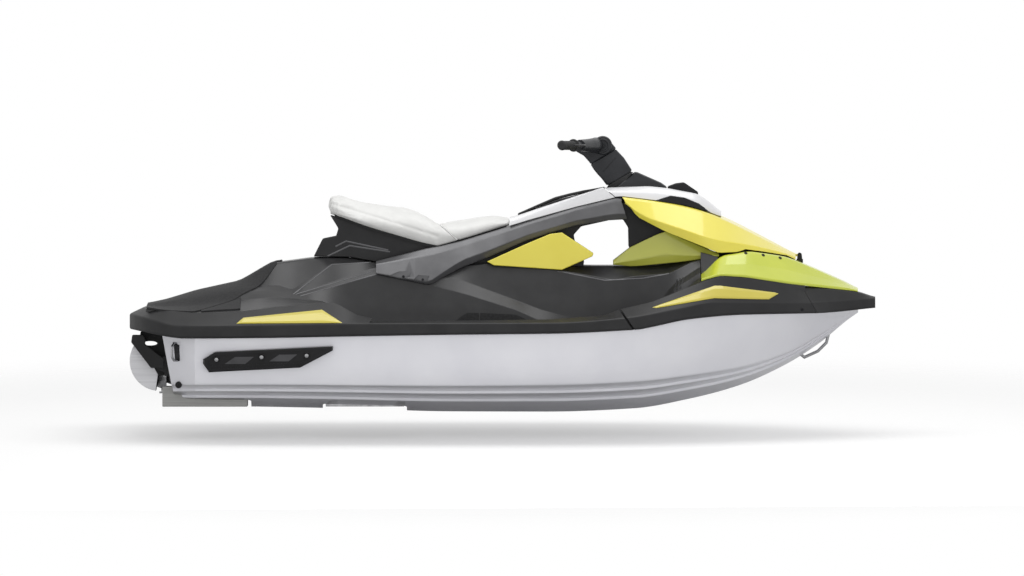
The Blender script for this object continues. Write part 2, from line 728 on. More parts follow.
def make_floor():
    """A white floor that fades out into the white world far from the craft."""
    bpy.ops.mesh.primitive_grid_add(x_subdivisions=8, y_subdivisions=8, size=40)
    floor = bpy.context.object
    floor.name = "studio_floor"
    floor.location.z = level(0) - FLOOR_DROP
    floor.rotation_euler.x = math.radians(FLOOR_TILT)
    bpy.ops.object.transform_apply(location=True, rotation=True, scale=True)
    made = bpy.data.materials.new("white studio floor")
    made.use_nodes = True
    tree = made.node_tree
    shader = tree.nodes["Principled BSDF"]
    shader.inputs["Base Color"].default_value = linear("D0D0D0")
    shader.inputs["Roughness"].default_value = 1.0
    shader.inputs["Emission Color"].default_value = (1, 1, 1, 1)
    path = add_node(tree, "ShaderNodeLightPath")
    glow = add_node(tree, "ShaderNodeMath", {0: path.outputs["Is Camera Ray"]}, operation="MULTIPLY")
    glow.inputs[1].default_value = 0.42
    tree.links.new(glow.outputs[0], shader.inputs["Emission Strength"])
    shader.inputs["Specular IOR Level"].default_value = 0.0
    place = add_node(tree, "ShaderNodeTexCoord").outputs["Object"]
    distance = add_node(tree, "ShaderNodeVectorMath", {0: place}, operation="LENGTH")
    reach = {"Value": distance.outputs["Value"]}
    fade = add_node(tree, "ShaderNodeMapRange", reach, interpolation_type="SMOOTHSTEP")
    fade.inputs["From Min"].default_value, fade.inputs["From Max"].default_value = 2.6, 4.6
    fade.inputs["To Min"].default_value, fade.inputs["To Max"].default_value = 1.0, 0.0
    tree.links.new(fade.outputs["Result"], shader.inputs["Alpha"])
    floor.data.materials.append(made)
    bpy.ops.object.select_all(action="DESELECT")


def make_world():
    world = bpy.context.scene.world or bpy.data.worlds.new("studio")
    bpy.context.scene.world = world
    world.use_nodes = True
    tree = world.node_tree
    tree.nodes.clear()
    path = add_node(tree, "ShaderNodeLightPath")
    light = add_node(tree, "ShaderNodeBackground", Color=(1, 1, 1, 1), Strength=0.60)
    white = add_node(tree, "ShaderNodeBackground", Color=(1, 1, 1, 1), Strength=1.0)
    camera_ray, glossy_ray = path.outputs["Is Camera Ray"], path.outputs["Is Glossy Ray"]
    clear_ray = path.outputs["Is Transmission Ray"]
    seen = add_node(tree, "ShaderNodeMath", {0: camera_ray, 1: glossy_ray}, operation="MAXIMUM")
    clear = add_node(tree, "ShaderNodeMath", {0: seen.outputs[0], 1: clear_ray}, operation="MAXIMUM")
    backdrops = {0: clear.outputs[0], 1: light.outputs[0], 2: white.outputs[0]}
    mix = add_node(tree, "ShaderNodeMixShader", backdrops)
    add_node(tree, "ShaderNodeOutputWorld", {"Surface": mix.outputs[0]})


def make_lamp(name, location, size, energy):
    data = bpy.data.lights.new(name, "AREA")
    data.shape, data.size, data.size_y, data.energy = "RECTANGLE", size[0], size[1], energy
    lamp = bpy.data.objects.new(name, data)
    bpy.context.scene.collection.objects.link(lamp)
    lamp.location = location
    lamp.rotation_euler = (-Vector(location)).to_track_quat("-Z", "Y").to_euler()
    return lamp


make_floor()
make_world()
make_lamp("overhead softbox", (0.2, -0.9, 4.2), (5.0, 2.4), 102)
low_fill = make_lamp("low fill card", (0.2, -3.5, -0.33), (6.0, 0.42), 40)
low_fill.visible_glossy = False
bpy.context.scene.view_settings.view_transform = "Standard"

# %% [markdown]
# ## Hull
#
# A real hull is one glass-fibre moulding: a vee bottom with two lifting strakes
# each side, a hard chine, full sides and a raked transom with cut corners. It is
# extruded section by section from the transom to the stem, then the pump's tunnel
# and the water intake are cut from underneath.

# %% Hull
WELL_DEPTH = [(0.044, 0.0), (0.235, 0.0), (0.330, 0.40), (0.700, 0.40), (0.791, 0.20), (0.977, 0.05)]


def hull_breadth(share):
    return straight(HULL_BREADTH, share) if share < 0.088 else fair(HULL_BREADTH[1:], share)


def hull_corners(share):
    """The chine, the fullest point of the side and the sheer, each as (y, z)."""
    top, breadth = sheer(share), abreast(hull_breadth(share))
    chine_share = straight(CHINE_BREADTH, share) if share < 0.088 else fair(CHINE_BREADTH[1:], share)
    chine_y, chine_z = abreast(chine_share), level(fair(CHINE, share))
    fullness = straight(SIDE_FULLNESS, share)
    side = (chine_y + fullness * (breadth - chine_y), chine_z + (1 - fullness) * (top - chine_z))
    return (chine_y, chine_z), side, (breadth, top)


def hull_side(share, z):
    """The half breadth of the hull's side at a height."""
    corners = hull_corners(share)
    return float(np.interp(z, [c[1] for c in corners], [c[0] for c in corners]))


def hull_ring(share):
    bottom = level(fair(KEEL, share))
    (chine_y, chine_z), (side_y, side_z), (breadth, top) = hull_corners(share)
    rise = chine_z - bottom
    step = 0.012 * min(1.0, rise / abreast(0.1))
    floor_z = top - max(straight(WELL_DEPTH, share), 0.001) * (top - bottom)
    half = [
        (0, bottom), (0.42 * chine_y, bottom + 0.40 * rise), (0.42 * chine_y, bottom + 0.40 * rise + step),
        (0.72 * chine_y, bottom + 0.70 * rise), (0.72 * chine_y, bottom + 0.70 * rise + step),
        (chine_y, chine_z), (side_y, side_z), (breadth, top), (FLANGE * breadth, top),
        (FLANGE * breadth, floor_z), (0, floor_z),
    ]
    radii = [0.008, 0.004, 0.004, 0.004, 0.004, 0.010, 0.10, 0.002, 0.002, 0.002, 0.002]
    rake = 0.055 / (top - bottom) * max(0.0, 1 - (share - 0.044) / 0.044)
    ring = whole_ring(half, radii)
    return [Vector((along(share) + rake * (top - p.z), p.y, p.z)) for p in ring]


def stern_opening(name, bevel):
    """The tool for the opening in the stern that the pump stands in."""
    return block(name, (-1.70, -0.118, -0.1), (along(0.066), 0.118, level(0.312)), None, bevel, 2)


stern_shares = [0.044, 0.0445, 0.055, 0.07, 0.084, 0.0868, 0.088, 0.0892, 0.093, 0.10]
hull_shares = stern_shares + stations(0.108, 0.972, 0.009) + [0.9755, 0.977]
hull = skin("hull_shell", [hull_ring(s) for s in hull_shares], GELCOAT)
tunnel = block("tunnel_tool", (-1.70, -0.16, -0.5), (along(0.162), 0.16, level(0.241)), None, 0.03, 3)
intake = block("intake_tool", (along(0.258), -0.101, -0.5), (along(0.371), 0.101, level(0.11)), None, 0.02, 2)
carve(hull, tunnel, intake, stern_opening("recess_tool", 0.015))
finish_piece(hull, GELCOAT)
seat_piece(hull, "craft", "hull_gelcoat", "hull", "intake_tunnel")

# %% [markdown]
# ## Gunwale bumper
#
# The rubbing strip round the craft is moulded in pieces that meet at slanted
# joints. The rear piece wraps the whole stern, so it is swept round its plan
# outline. The side and front pieces are extruded along the length.

# %% Gunwale: rear piece
def gunwale_width(share):
    return half_breadth(share) * (1 - FLANGE) + FLARE


def plan_route():
    """The outer plan line of the stern from the port joint round to the starboard one, with its shares."""
    port = [(s, along(s), half_breadth(s) + FLARE) for s in stations(0.0, 0.312, 0.008)][::-1]
    corner_y = port[-1][2]
    across = [(0.0, along(0), corner_y * (1 - k / 10)) for k in range(1, 10)]
    half = port + across
    return half + [(0.0, along(0), 0.0)] + [(s, x, -y) for s, x, y in half[::-1]]


def stern_ring(route, i):
    share, x, y = route[i]
    spread = 2 if 2 <= i < len(route) - 2 else 1
    before, after = route[max(i - spread, 0)], route[min(i + spread, len(route) - 1)]
    heading = Vector((after[1] - before[1], after[2] - before[2])).normalized()
    out = Vector((heading.y, -heading.x))
    if out.dot(Vector((x, y))) < 0:
        out = -out
    if i in (0, len(route) - 1):
        out = Vector((0, 1 if y > 0 else -1))
    width = gunwale_width(share) if share > 0.02 else 0.0675
    low, top, rim = sheer(share) + GAP, band(share), edge(share)
    lip = top if rim - top < 0.02 else top - 0.002
    section = [
        (-width, low), (-0.004, low), (0, low + 0.008), (0, lip), (-0.004, top + 0.004), (-width, rim),
    ]
    slant = 0.55 if i in (0, len(route) - 1) else 0
    corners = [Vector((x + out.x * d + (z - low) * slant, y + out.y * d, z)) for d, z in section]
    return rounded(corners, [0.003, 0.004, 0.004, 0.004, 0.004, 0.006])


route = plan_route()
gunwale_rear = skin("gunwale_rear_piece", [stern_ring(route, i) for i in range(len(route))], GUNWALE_PLASTIC)
carve(gunwale_rear, stern_opening("swing_tool", 0.01))
finish_piece(gunwale_rear, GUNWALE_PLASTIC)
seat_piece(gunwale_rear, "craft", "gunwale_plastic", "gunwale_rear")

# %% Gunwale: side and front pieces, and the bow piece
def leaned(ring, share, shift, low, rim):
    """Sets a ring at its share, with its bottom and its top moved along by two shifts."""
    start, lean, span = along(share) + shift[0], shift[1] - shift[0], max(rim - low, 1e-6)
    return [Vector((start + lean * (p.z - low) / span, p.y, p.z)) for p in ring]


def gunwale_ring(share, shift):
    """A section of the gunwale. The shift leans the ends, from the bottom to the top."""
    outer, inner = half_breadth(share) + FLARE, FLANGE * half_breadth(share)
    low, top, rim = sheer(share) + GAP, band(share), edge(share)
    corners = [
        (inner, low), (outer - 0.004, low), (outer, low + 0.008), (outer, top - 0.002),
        (outer - 0.004, top + 0.004), (inner, rim),
    ]
    ring = rounded([Vector((0, y, z)) for y, z in corners], [0.003, 0.004, 0.004, 0.004, 0.004, 0.006])
    return leaned(ring, share, shift, low, rim)


def gunwale_piece(name, start, end, start_shift, end_shift, material):
    shares = stations(start, end, 0.008)
    rings = []
    for share in shares:
        near, far = max(0.0, 1 - (share - start) / 0.03), max(0.0, 1 - (end - share) / 0.03)
        shift = [a * near + b * far for a, b in zip(start_shift, end_shift)]
        rings.append(gunwale_ring(share, shift))
    return skin(name, rings, material)


side_piece = gunwale_piece(
    "gunwale_side_port", 0.315, 0.664, (-0.074, 0.002), (0.030, -0.030), GUNWALE_PLASTIC
)
front_piece = gunwale_piece(
    "gunwale_front_port", 0.667, 0.910, (0.030, -0.030), (0.036, -0.030), GUNWALE_PLASTIC
)
screw = bolt("bow_joint_bolt_port", *touch(front_piece, 0.901, 0.375, 1), 0.007, DARK_METAL)
seat_pair(screw, "craft", "gunwale_plastic")
seat_pair(side_piece, "craft", "gunwale_plastic", "gunwale_side")
seat_pair(front_piece, "craft", "gunwale_plastic", "gunwale_front")


def bumper_ring(share, shift):
    outer, inner = half_breadth(share) + FLARE, FLANGE * half_breadth(share)
    low, top, rim = sheer(share) + GAP, band(share), edge(share)
    half = [
        (0, low), (outer - 0.004, low), (outer, low + 0.008), (outer, top), (outer - 0.003, top + 0.004),
        (inner, rim), (0, rim + 0.002),
    ]
    radii = [0.004, 0.004, 0.004, 0.003, 0.003, 0.008, 0.004]
    return leaned(whole_ring(half, radii), share, shift, low, rim)


rings = []
for share in stations(0.9104, 1.0, 0.006):
    near = max(0.0, 1 - (share - 0.9104) / 0.03)
    rings.append(bumper_ring(share, (0.036 * near, -0.030 * near)))
bumper = skin("bow_bumper_piece", rings, BUMPER_PLASTIC)
seat_piece(bumper, "craft", "bumper_black", "bow_bumper")

# %% [markdown]
# ## Deck
#
# The deck moulding carries everything: a crowned boarding platform, the rear
# quarters with their sharp fold lines, deep footwells, and the raised centre that
# the rider sits over. One section with many corners follows all of these along
# the craft, and each corner's line is read from its own table.

# %% Deck: the tables of its fold lines
OUTER_FLOOR = [
    (0.022, 0.381), (0.044, 0.371), (0.088, 0.364), (0.147, 0.372), (0.199, 0.390), (0.23, 0.398),
    (0.262, 0.400), (0.29, 0.36), (0.33, 0.25), (0.37, 0.205), (0.43, 0.199), (0.657, 0.199), (0.70, 0.245),
    (0.73, 0.37), (0.765, 0.478),
]
INNER_FLOOR = [
    (0.022, 0.385), (0.044, 0.383), (0.088, 0.390), (0.147, 0.410), (0.199, 0.420), (0.23, 0.412),
    (0.262, 0.402), (0.29, 0.36), (0.33, 0.25), (0.37, 0.205), (0.43, 0.199), (0.657, 0.199), (0.70, 0.245),
    (0.73, 0.40), (0.765, 0.487),
]
FOLD_LOW = [
    (0.022, 0.387), (0.048, 0.393), (0.088, 0.405), (0.147, 0.428), (0.199, 0.432), (0.2286, 0.422),
    (0.335, 0.505), (0.402, 0.462), (0.45, 0.430), (0.519, 0.372), (0.56, 0.320), (0.60, 0.280),
    (0.657, 0.270), (0.70, 0.32), (0.73, 0.45), (0.765, 0.51),
]
FOLD_MIDDLE = [
    (0.022, 0.389), (0.048, 0.398), (0.088, 0.414), (0.147, 0.442), (0.199, 0.442), (0.2235, 0.431),
    (0.3275, 0.526), (0.402, 0.490), (0.437, 0.488), (0.55, 0.376), (0.60, 0.34), (0.657, 0.34), (0.70, 0.38),
    (0.73, 0.47), (0.765, 0.53),
]
FOLD_HIGH = [
    (0.022, 0.390), (0.048, 0.402), (0.088, 0.426), (0.147, 0.456), (0.199, 0.462), (0.218, 0.445),
    (0.27, 0.540), (0.325, 0.546), (0.40, 0.520), (0.48, 0.541), (0.579, 0.516), (0.65, 0.480),
    (0.6745, 0.4945), (0.7228, 0.505), (0.751, 0.545), (0.765, 0.555),
]
CENTRE = [
    (0.022, 0.392), (0.048, 0.407), (0.088, 0.440), (0.147, 0.475), (0.191, 0.545), (0.246, 0.565),
    (0.295, 0.563), (0.33, 0.545), (0.38, 0.536), (0.70, 0.536), (0.765, 0.56),
]
OUTER_FLOOR_Y = [(0.022, 0.93), (0.246, 0.93), (0.33, 0.94), (1.0, 0.94)]
INNER_FLOOR_Y = [
    (0.022, 0.62), (0.199, 0.66), (0.28, 0.64), (0.33, 0.60), (0.402, 0.58), (0.45, 0.62), (0.52, 0.62),
    (0.56, 0.60), (0.60, 0.57), (0.657, 0.54), (0.70, 0.58), (0.73, 0.70), (0.765, 0.78),
]
FOLD_LOW_Y = [
    (0.022, 0.58), (0.199, 0.60), (0.2286, 0.60), (0.335, 0.47), (0.402, 0.462), (0.45, 0.525),
    (0.519, 0.545), (0.56, 0.54), (0.60, 0.51), (0.657, 0.49), (0.70, 0.52), (0.73, 0.64), (0.765, 0.70),
]
FOLD_MIDDLE_Y = [
    (0.022, 0.52), (0.199, 0.55), (0.2235, 0.56), (0.3275, 0.435), (0.402, 0.435), (0.437, 0.43),
    (0.55, 0.46), (0.60, 0.465), (0.657, 0.455), (0.70, 0.48), (0.73, 0.58), (0.765, 0.62),
]
FOLD_HIGH_Y = [
    (0.022, 0.42), (0.199, 0.46), (0.218, 0.50), (0.27, 0.42), (0.325, 0.36), (0.40, 0.35), (0.50, 0.36),
    (0.579, 0.38), (0.65, 0.42), (0.70, 0.45), (0.73, 0.52), (0.765, 0.54),
]


def deck_half(share):
    """The port half of a deck section from the bottom centreline to the top one, as (y, z)."""
    side = FLANGE * half_breadth(share) - GAP
    core = min(0.130, 0.27 * side / 0.85)
    rim = edge(share)
    floor_low = min(level(soft(OUTER_FLOOR, share)), rim - 0.001)
    return [
        (0, sheer(share) + 0.001), (side, sheer(share) + 0.001), (side, rim - 0.003),
        (0.975 * side, rim - 0.003),
        (soft(OUTER_FLOOR_Y, share) * side, floor_low),
        (soft(INNER_FLOOR_Y, share) * side, level(soft(INNER_FLOOR, share))),
        (soft(FOLD_LOW_Y, share, 0.003) * side, level(soft(FOLD_LOW, share, 0.003))),
        (soft(FOLD_MIDDLE_Y, share, 0.003) * side, level(soft(FOLD_MIDDLE, share, 0.003))),
        (soft(FOLD_HIGH_Y, share, 0.003) * side, level(soft(FOLD_HIGH, share, 0.003))),
        (min(core, 0.9 * soft(FOLD_HIGH_Y, share) * side), level(soft(CENTRE, share)) - 0.003),
        (0, level(soft(CENTRE, share))),
    ]


def deck_bottom(share):
    """The underside follows the floor at a laminate's thickness, so the footwells stay open to the hull."""
    depth = straight(WELL_DEPTH, share) * (sheer(share) - level(fair(KEEL, share)))
    return sheer(share) - depth + 0.001


def deck_ring(share):
    half = deck_half(share)
    low = deck_bottom(share)
    half[0], half[1] = (0, low), (half[1][0], low)
    well = max(0.0, min(1.0, (share - 0.28) / 0.06))
    radii = [
        0.002, 0.004, 0.004, 0.006, 0.006 + 0.05 * well, 0.006 + 0.05 * well, 0.0035, 0.0035, 0.0035, 0.012,
        0.01,
    ]
    ring = whole_ring(half, radii, 4)
    return [Vector((along(share), p.y, p.z)) for p in ring]


deck_shares = [s for s in stations(0.022, 0.79, 0.0055) if s <= 0.764] + [0.7645]
print(len(deck_shares), "deck sections")
deck = skin("deck_shell", [deck_ring(s) for s in deck_shares], DECK_PLASTIC, 24)
carve(deck, stern_opening("stern_gap_tool", 0.01))
finish_piece(deck, DECK_PLASTIC, 24)
seat_piece(deck, "craft", "deck_plastic", "deck", "deck_pedestal")

# %% [markdown]
# ## Yellow inserts
#
# The inserts are thin moulded plates screwed into the slope of the gunwale. Each
# follows that slope, stands a few millimetres proud and has a fold near its upper
# edge that catches the light.

# %% Inserts in the gunwale
def gunwale_slope(share, z, lift):
    """A point on the gunwale's slope at a height, lifted off it."""
    outer, inner = half_breadth(share) + FLARE - 0.004, FLANGE * half_breadth(share)
    low, rim = band(share) + 0.004, edge(share)
    part = (z - low) / max(rim - low, 1e-6)
    out = Vector((0, rim - low, outer - inner)).normalized()
    return Vector((along(share), outer + (inner - outer) * part, z)) + out * lift


def make_insert(name, low_shares, high_shares, steps):
    rings = []
    for share in steps:
        low = level(straight(low_shares, share))
        high = max(level(straight(high_shares, share)), low + 0.001)
        fold = low + 0.72 * (high - low)
        lift = min(0.005, 0.35 * (high - low))
        spots = [
            (low, -0.003), (low, 0.5 * lift), (low + 0.15 * (high - low), lift), (fold, lift),
            (high, 0.2 * lift),
            (high, -0.003),
        ]
        corners = [gunwale_slope(share, z, d) for z, d in spots]
        rings.append(rounded(corners, [0.0, 0.001, 0.001, 0.001, 0.001, 0.0], 2))
    return skin(name, rings, INSERT_PAINT, 24)


rear_insert = make_insert(
    "rear_insert_port", [(0.144, 0.326), (0.285, 0.3285)],
    [(0.144, 0.327), (0.153, 0.347), (0.258, 0.376), (0.285, 0.3295)],
    [0.144, 0.1485] + stations(0.153, 0.258, 0.0105) + [0.267, 0.276, 0.285])
front_insert = make_insert(
    "front_insert_port", [(0.700, 0.384), (0.705, 0.3815), (0.782, 0.417), (0.856, 0.412), (0.869, 0.4325)],
    [(0.700, 0.385), (0.783, 0.462), (0.791, 0.462), (0.864, 0.437), (0.869, 0.4335)],
    [0.700, 0.705] + stations(0.715, 0.783, 0.0085) + stations(0.791, 0.856, 0.0081) + [0.864, 0.869])
seat_pair(rear_insert, "craft", "panel_yellow", "rear_insert")
seat_pair(front_insert, "craft", "panel_yellow", "front_insert")

# %% [markdown]
# ## Bow fairing and splash panels
#
# The lime fairing is one folded shell over the bow. Behind it, a splash panel on
# each side fills the corner between the console and the fairing, in shadow.

# %% Bow fairing
FAIRING_TOP = [
    (0.7655, 0.500), (0.791, 0.574), (0.8155, 0.5805), (0.825, 0.590), (0.849, 0.582), (0.881, 0.568),
    (0.900, 0.547), (0.926, 0.517), (0.966, 0.468), (0.977, 0.448),
]
FAIRING_TOP_Y = [
    (0.7655, 0.50), (0.791, 0.47), (0.817, 0.43), (0.87, 0.29), (0.900, 0.19), (0.966, 0.05), (0.977, 0.03),
]


def fairing_ring(share):
    bottom = edge(share) + 0.0008
    low_y = 0.965 * FLANGE * half_breadth(share)
    top = level(soft(FAIRING_TOP, share, 0.008))
    top_y = min(abreast(soft(FAIRING_TOP_Y, share, 0.022)), 0.9 * low_y)
    hem = bottom + min(0.010, 0.3 * (top - bottom))
    fold_y, fold_z = low_y + 0.55 * (top_y - low_y), hem + 0.46 * (top - hem)
    half = [(0, bottom), (low_y, bottom), (low_y, hem), (fold_y, fold_z), (top_y, top - 0.004), (0, top)]
    radii = [0.002, 0.002, 0.003, 0.003, 0.010, 0.004]
    ring = whole_ring(half, radii)
    return [Vector((along(share), p.y, p.z)) for p in ring]


fairing = skin(
    "bow_fairing_shell", [fairing_ring(s) for s in stations(0.7655, 0.9765, 0.0062)], LIME_PAINT, 22
)
carve(fairing, crosswise("bin_tool", 0.800, 0.872, 0.115, 0.345, 1, 0.012))
finish_piece(fairing, LIME_PAINT, 22)
seat_piece(fairing, "craft", "fairing_lime", "bow_fairing")

# %% Splash panels
CORE_SIDE = 0.130
SPLASH_LOW = [(0.648, 0.536), (0.674, 0.530), (0.736, 0.546), (0.764, 0.556), (0.7895, 0.566)]
SPLASH_HIGH = [(0.648, 0.552), (0.672, 0.602), (0.717, 0.660), (0.764, 0.605), (0.7895, 0.5775)]
SPLASH_Y = [(0.648, 0.27), (0.674, 0.30), (0.717, 0.35), (0.764, 0.39), (0.790, 0.41)]


def splash_ring(share):
    low, high = level(straight(SPLASH_LOW, share)), level(straight(SPLASH_HIGH, share))
    inner, outer = CORE_SIDE + 0.0006, abreast(straight(SPLASH_Y, share))
    corners = [
        (inner, low), (outer - 0.012, low), (outer, low + 0.3 * (high - low)), (outer - 0.02, high),
        (inner, high),
    ]
    return rounded([Vector((along(share), y, z)) for y, z in corners], [0.0, 0.004, 0.006, 0.004, 0.0])


splash = skin("splash_panel_port", [splash_ring(s) for s in stations(0.648, 0.7895, 0.0118)], OLIVE_PAINT, 28)
seat_pair(splash, "craft", "splash_lime", "splash_panel")

# %% [markdown]
# ## Console
#
# Two graphite side arms run from the deck up to the handlebar, each a deep
# moulding whose lit face leans inwards over a darker chamfer. White trims lie on
# them, yellow knee panels fill the space below, and a lid covers the glove box.

# %% Side arms
ARM_TOP = [
    (0.330, 0.549), (0.397, 0.596), (0.413, 0.6025), (0.430, 0.6135), (0.442, 0.621), (0.477, 0.650),
    (0.532, 0.696), (0.597, 0.745), (0.652, 0.781), (0.673, 0.774),
]
ARM_LOW = [
    (0.330, 0.504), (0.402, 0.464), (0.442, 0.524), (0.477, 0.560), (0.532, 0.625), (0.597, 0.679),
    (0.641, 0.697), (0.6665, 0.702),
]
ARM_REACH = [
    (0.330, 1.12), (0.345, 1.18), (0.400, 1.16), (0.430, 0.86), (0.477, 0.67), (0.597, 0.45), (0.664, 0.335),
]
ARM_CHAMFER = [(0.395, 0.07), (0.450, 0.27)]
ARM_TILT = [(0.40, 0.40), (0.48, 0.28), (0.60, 0.10)]
ARM_THICKNESS = 0.10


def arm_outer(share):
    return CORE_SIDE + ARM_THICKNESS * straight(ARM_REACH, share)


def arm_ring(share):
    top, low = level(soft(ARM_TOP, share, 0.003)), level(soft(ARM_LOW, share, 0.003))
    inner, outer = CORE_SIDE + 0.0006, arm_outer(share)
    height = top - low
    chamfer = straight(ARM_CHAMFER, share) * height
    upper = outer - min(straight(ARM_TILT, share) * height, 0.42 * (outer - inner))
    lean = 0.32 if share > 0.665 else 0
    corners = [
        (inner, low), (outer - 0.8 * chamfer, low), (outer, low + chamfer), (upper, low + 0.80 * height),
        (inner + 0.62 * (upper - inner), top), (inner, top),
    ]
    ring = rounded([Vector((0, y, z)) for y, z in corners], [0.0, 0.006, 0.004, 0.006, 0.006, 0.0])
    return [Vector((along(share) - lean * (p.z - low), p.y, p.z)) for p in ring]


arm = skin("side_arm_port", [arm_ring(s) for s in stations(0.330, 0.6665, 0.0075)], ARM_PLASTIC, 26)
SCOOPS = [
    [(0.346, 0.4967), (0.3603, 0.5127), (0.3766, 0.5127), (0.3755, 0.4938), (0.3644, 0.4873)],
    [(0.3803, 0.484), (0.3861, 0.500), (0.4014, 0.4967), (0.399, 0.4779), (0.3909, 0.4779)],
]
SCOOP_BOLTS = [(0.3665, 0.4945), (0.3925, 0.4835)]
carve(arm, *[panel("scoop_tool", placed(outline), 0.231, 0.30) for outline in SCOOPS])
finish_piece(arm, ARM_PLASTIC, 26)
screws = [bolt("screw", *touch(arm, x, z, 1), 0.0055, DARK_METAL) for x, z in SCOOP_BOLTS]
seat_pair(joined("arm_bolts_port", *screws), "craft", "arm_graphite")
seat_pair(arm, "craft", "arm_graphite", "side_arm")

# %% White trims
TRIM_TOP = [(0.512, 0.708), (0.550, 0.743), (0.618, 0.803), (0.634, 0.8105), (0.654, 0.818)]
SEAM_SHARE, SEAM_SLANT = 0.6505, 1.2


def seam_shift(share, height):
    """How far the slanted seam between trim and crown moves a point back, fading out away from it."""
    return -SEAM_SLANT * height * max(0.0, 1 - abs(share - SEAM_SHARE) / 0.03)


def trim_ring(share):
    low = level(soft(ARM_TOP, share, 0.003)) + 0.0006
    top = level(straight(TRIM_TOP, share))
    inner, height = CORE_SIDE + 0.0006, top - low
    outer = inner + 0.6 * (arm_outer(share) - inner)
    corners = [
        (inner, low), (outer, low), (outer - 0.1 * height, low + 0.5 * height),
        (inner + 0.5 * (outer - inner), top), (inner, top),
    ]
    ring = rounded([Vector((0, y, z)) for y, z in corners], [0.0, 0.003, 0.010, 0.008, 0.001])
    return [Vector((along(share) + seam_shift(share, p.z - low), p.y, p.z)) for p in ring]


trim_shares = stations(0.5093, SEAM_SHARE - 0.0003, 0.0071)
trim = skin("console_trim_port", [trim_ring(s) for s in trim_shares], WHITE_PAINT, 40)
seat_pair(trim, "craft", "trim_white", "console_trim")

# %% Knee panels
KNEE_OUTLINE = [
    (0.4785, 0.548), (0.532, 0.613), (0.563, 0.648), (0.579, 0.6535), (0.6215, 0.578), (0.620, 0.567),
    (0.579, 0.518), (0.488, 0.5345),
]


def make_knee_panel():
    piece = panel("knee_panel_port", placed(KNEE_OUTLINE), CORE_SIDE + 0.0006, abreast(0.345), YELLOW_PAINT)
    bpy.context.view_layer.objects.active = piece
    bpy.ops.object.mode_set(mode="EDIT")
    mesh = bmesh.from_edit_mesh(piece.data)
    for face in mesh.faces:
        face.select = face.normal.y > 0.9
    bmesh.update_edit_mesh(piece.data)
    bpy.ops.mesh.inset(thickness=0.016, depth=0.0)
    bpy.ops.transform.translate(value=(0, 0.007, 0))
    bpy.ops.object.mode_set(mode="OBJECT")
    return bevelled(piece, 0.003, 3, 12)


seat_pair(make_knee_panel(), "craft", "panel_yellow", "knee_panel")

# %% Console core, lid and cowl
CORE_OUTLINE = [
    (0.412, 0.530), (0.58, 0.510), (0.607, 0.520), (0.609, 0.549), (0.598, 0.600), (0.595, 0.645),
    (0.605, 0.675), (0.642, 0.697), (0.661, 0.700), (0.668, 0.671), (0.6685, 0.604), (0.680, 0.545),
    (0.690, 0.500), (0.7645, 0.530), (0.7645, 0.580), (0.784, 0.600), (0.764, 0.690), (0.717, 0.745),
    (0.684, 0.757), (0.6575, 0.764), (0.6545, 0.795), (0.639, 0.800), (0.626, 0.802), (0.609, 0.795),
    (0.570, 0.770), (0.520, 0.711), (0.5115, 0.7015), (0.511, 0.678), (0.442, 0.620), (0.418, 0.598),
]


def make_core():
    core = panel("console_core_shell", placed(CORE_OUTLINE), -CORE_SIDE, CORE_SIDE, None, 0.004, 2)
    carve(core, crosswise("tray_tool", 0.545, 0.605, 0.075, 0.690, 0.9, 0.008))
    return finish_piece(core, CONSOLE_PLASTIC)


def make_lid():
    top = [(0.520, 0.722), (0.545, 0.752), (0.570, 0.781), (0.590, 0.795), (0.609, 0.806), (0.626, 0.813)]
    outline = [(x, z - 0.012) for x, z in placed(top)] + placed(top)[::-1]
    return panel("glovebox_lid_panel", outline, -0.112, 0.112, GUNWALE_PLASTIC, 0.0035, 3)


seat_piece(make_core(), "craft", "console_black", "console_core")
seat_piece(make_lid(), "glovebox", "lid_charcoal", "glovebox_lid")

# %% [markdown]
# ## Hood
#
# The hood is a thin shell that hinges at its nose. Its flank has a long fold, its
# rear edge leans with the console, and its nose drops between two raised edges.
# A white crown and a black vent are bonded on top.

# %% Hood shell
HOOD_LOW = [
    (0.659, 0.770), (0.6625, 0.760), (0.671, 0.743), (0.680, 0.710), (0.717, 0.658), (0.789, 0.580),
    (0.8155, 0.583), (0.825, 0.593), (0.849, 0.584), (0.881, 0.570), (0.893, 0.5545),
]
HOOD_CREASE = [
    (0.659, 0.774), (0.671, 0.748), (0.681, 0.718), (0.717, 0.686), (0.786, 0.625), (0.825, 0.612),
    (0.877, 0.580), (0.893, 0.5625),
]
HOOD_SIDE = [
    (0.659, 0.782), (0.706, 0.767), (0.742, 0.752), (0.768, 0.734), (0.794, 0.705), (0.842, 0.640),
    (0.893, 0.570),
]
HOOD_TOP = [
    (0.659, 0.785), (0.706, 0.772), (0.742, 0.758), (0.768, 0.742), (0.794, 0.717), (0.842, 0.649),
    (0.893, 0.576),
]
HOOD_LOW_Y = [
    (0.659, 0.30), (0.682, 0.33), (0.717, 0.40), (0.789, 0.44), (0.815, 0.40), (0.870, 0.21), (0.893, 0.11),
]
HOOD_CREASE_Y = [
    (0.659, 0.31), (0.682, 0.35), (0.717, 0.42), (0.789, 0.455), (0.815, 0.39), (0.870, 0.20), (0.893, 0.10),
]
HOOD_SIDE_Y = [(0.659, 0.30), (0.706, 0.31), (0.768, 0.26), (0.794, 0.22), (0.842, 0.13), (0.893, 0.05)]


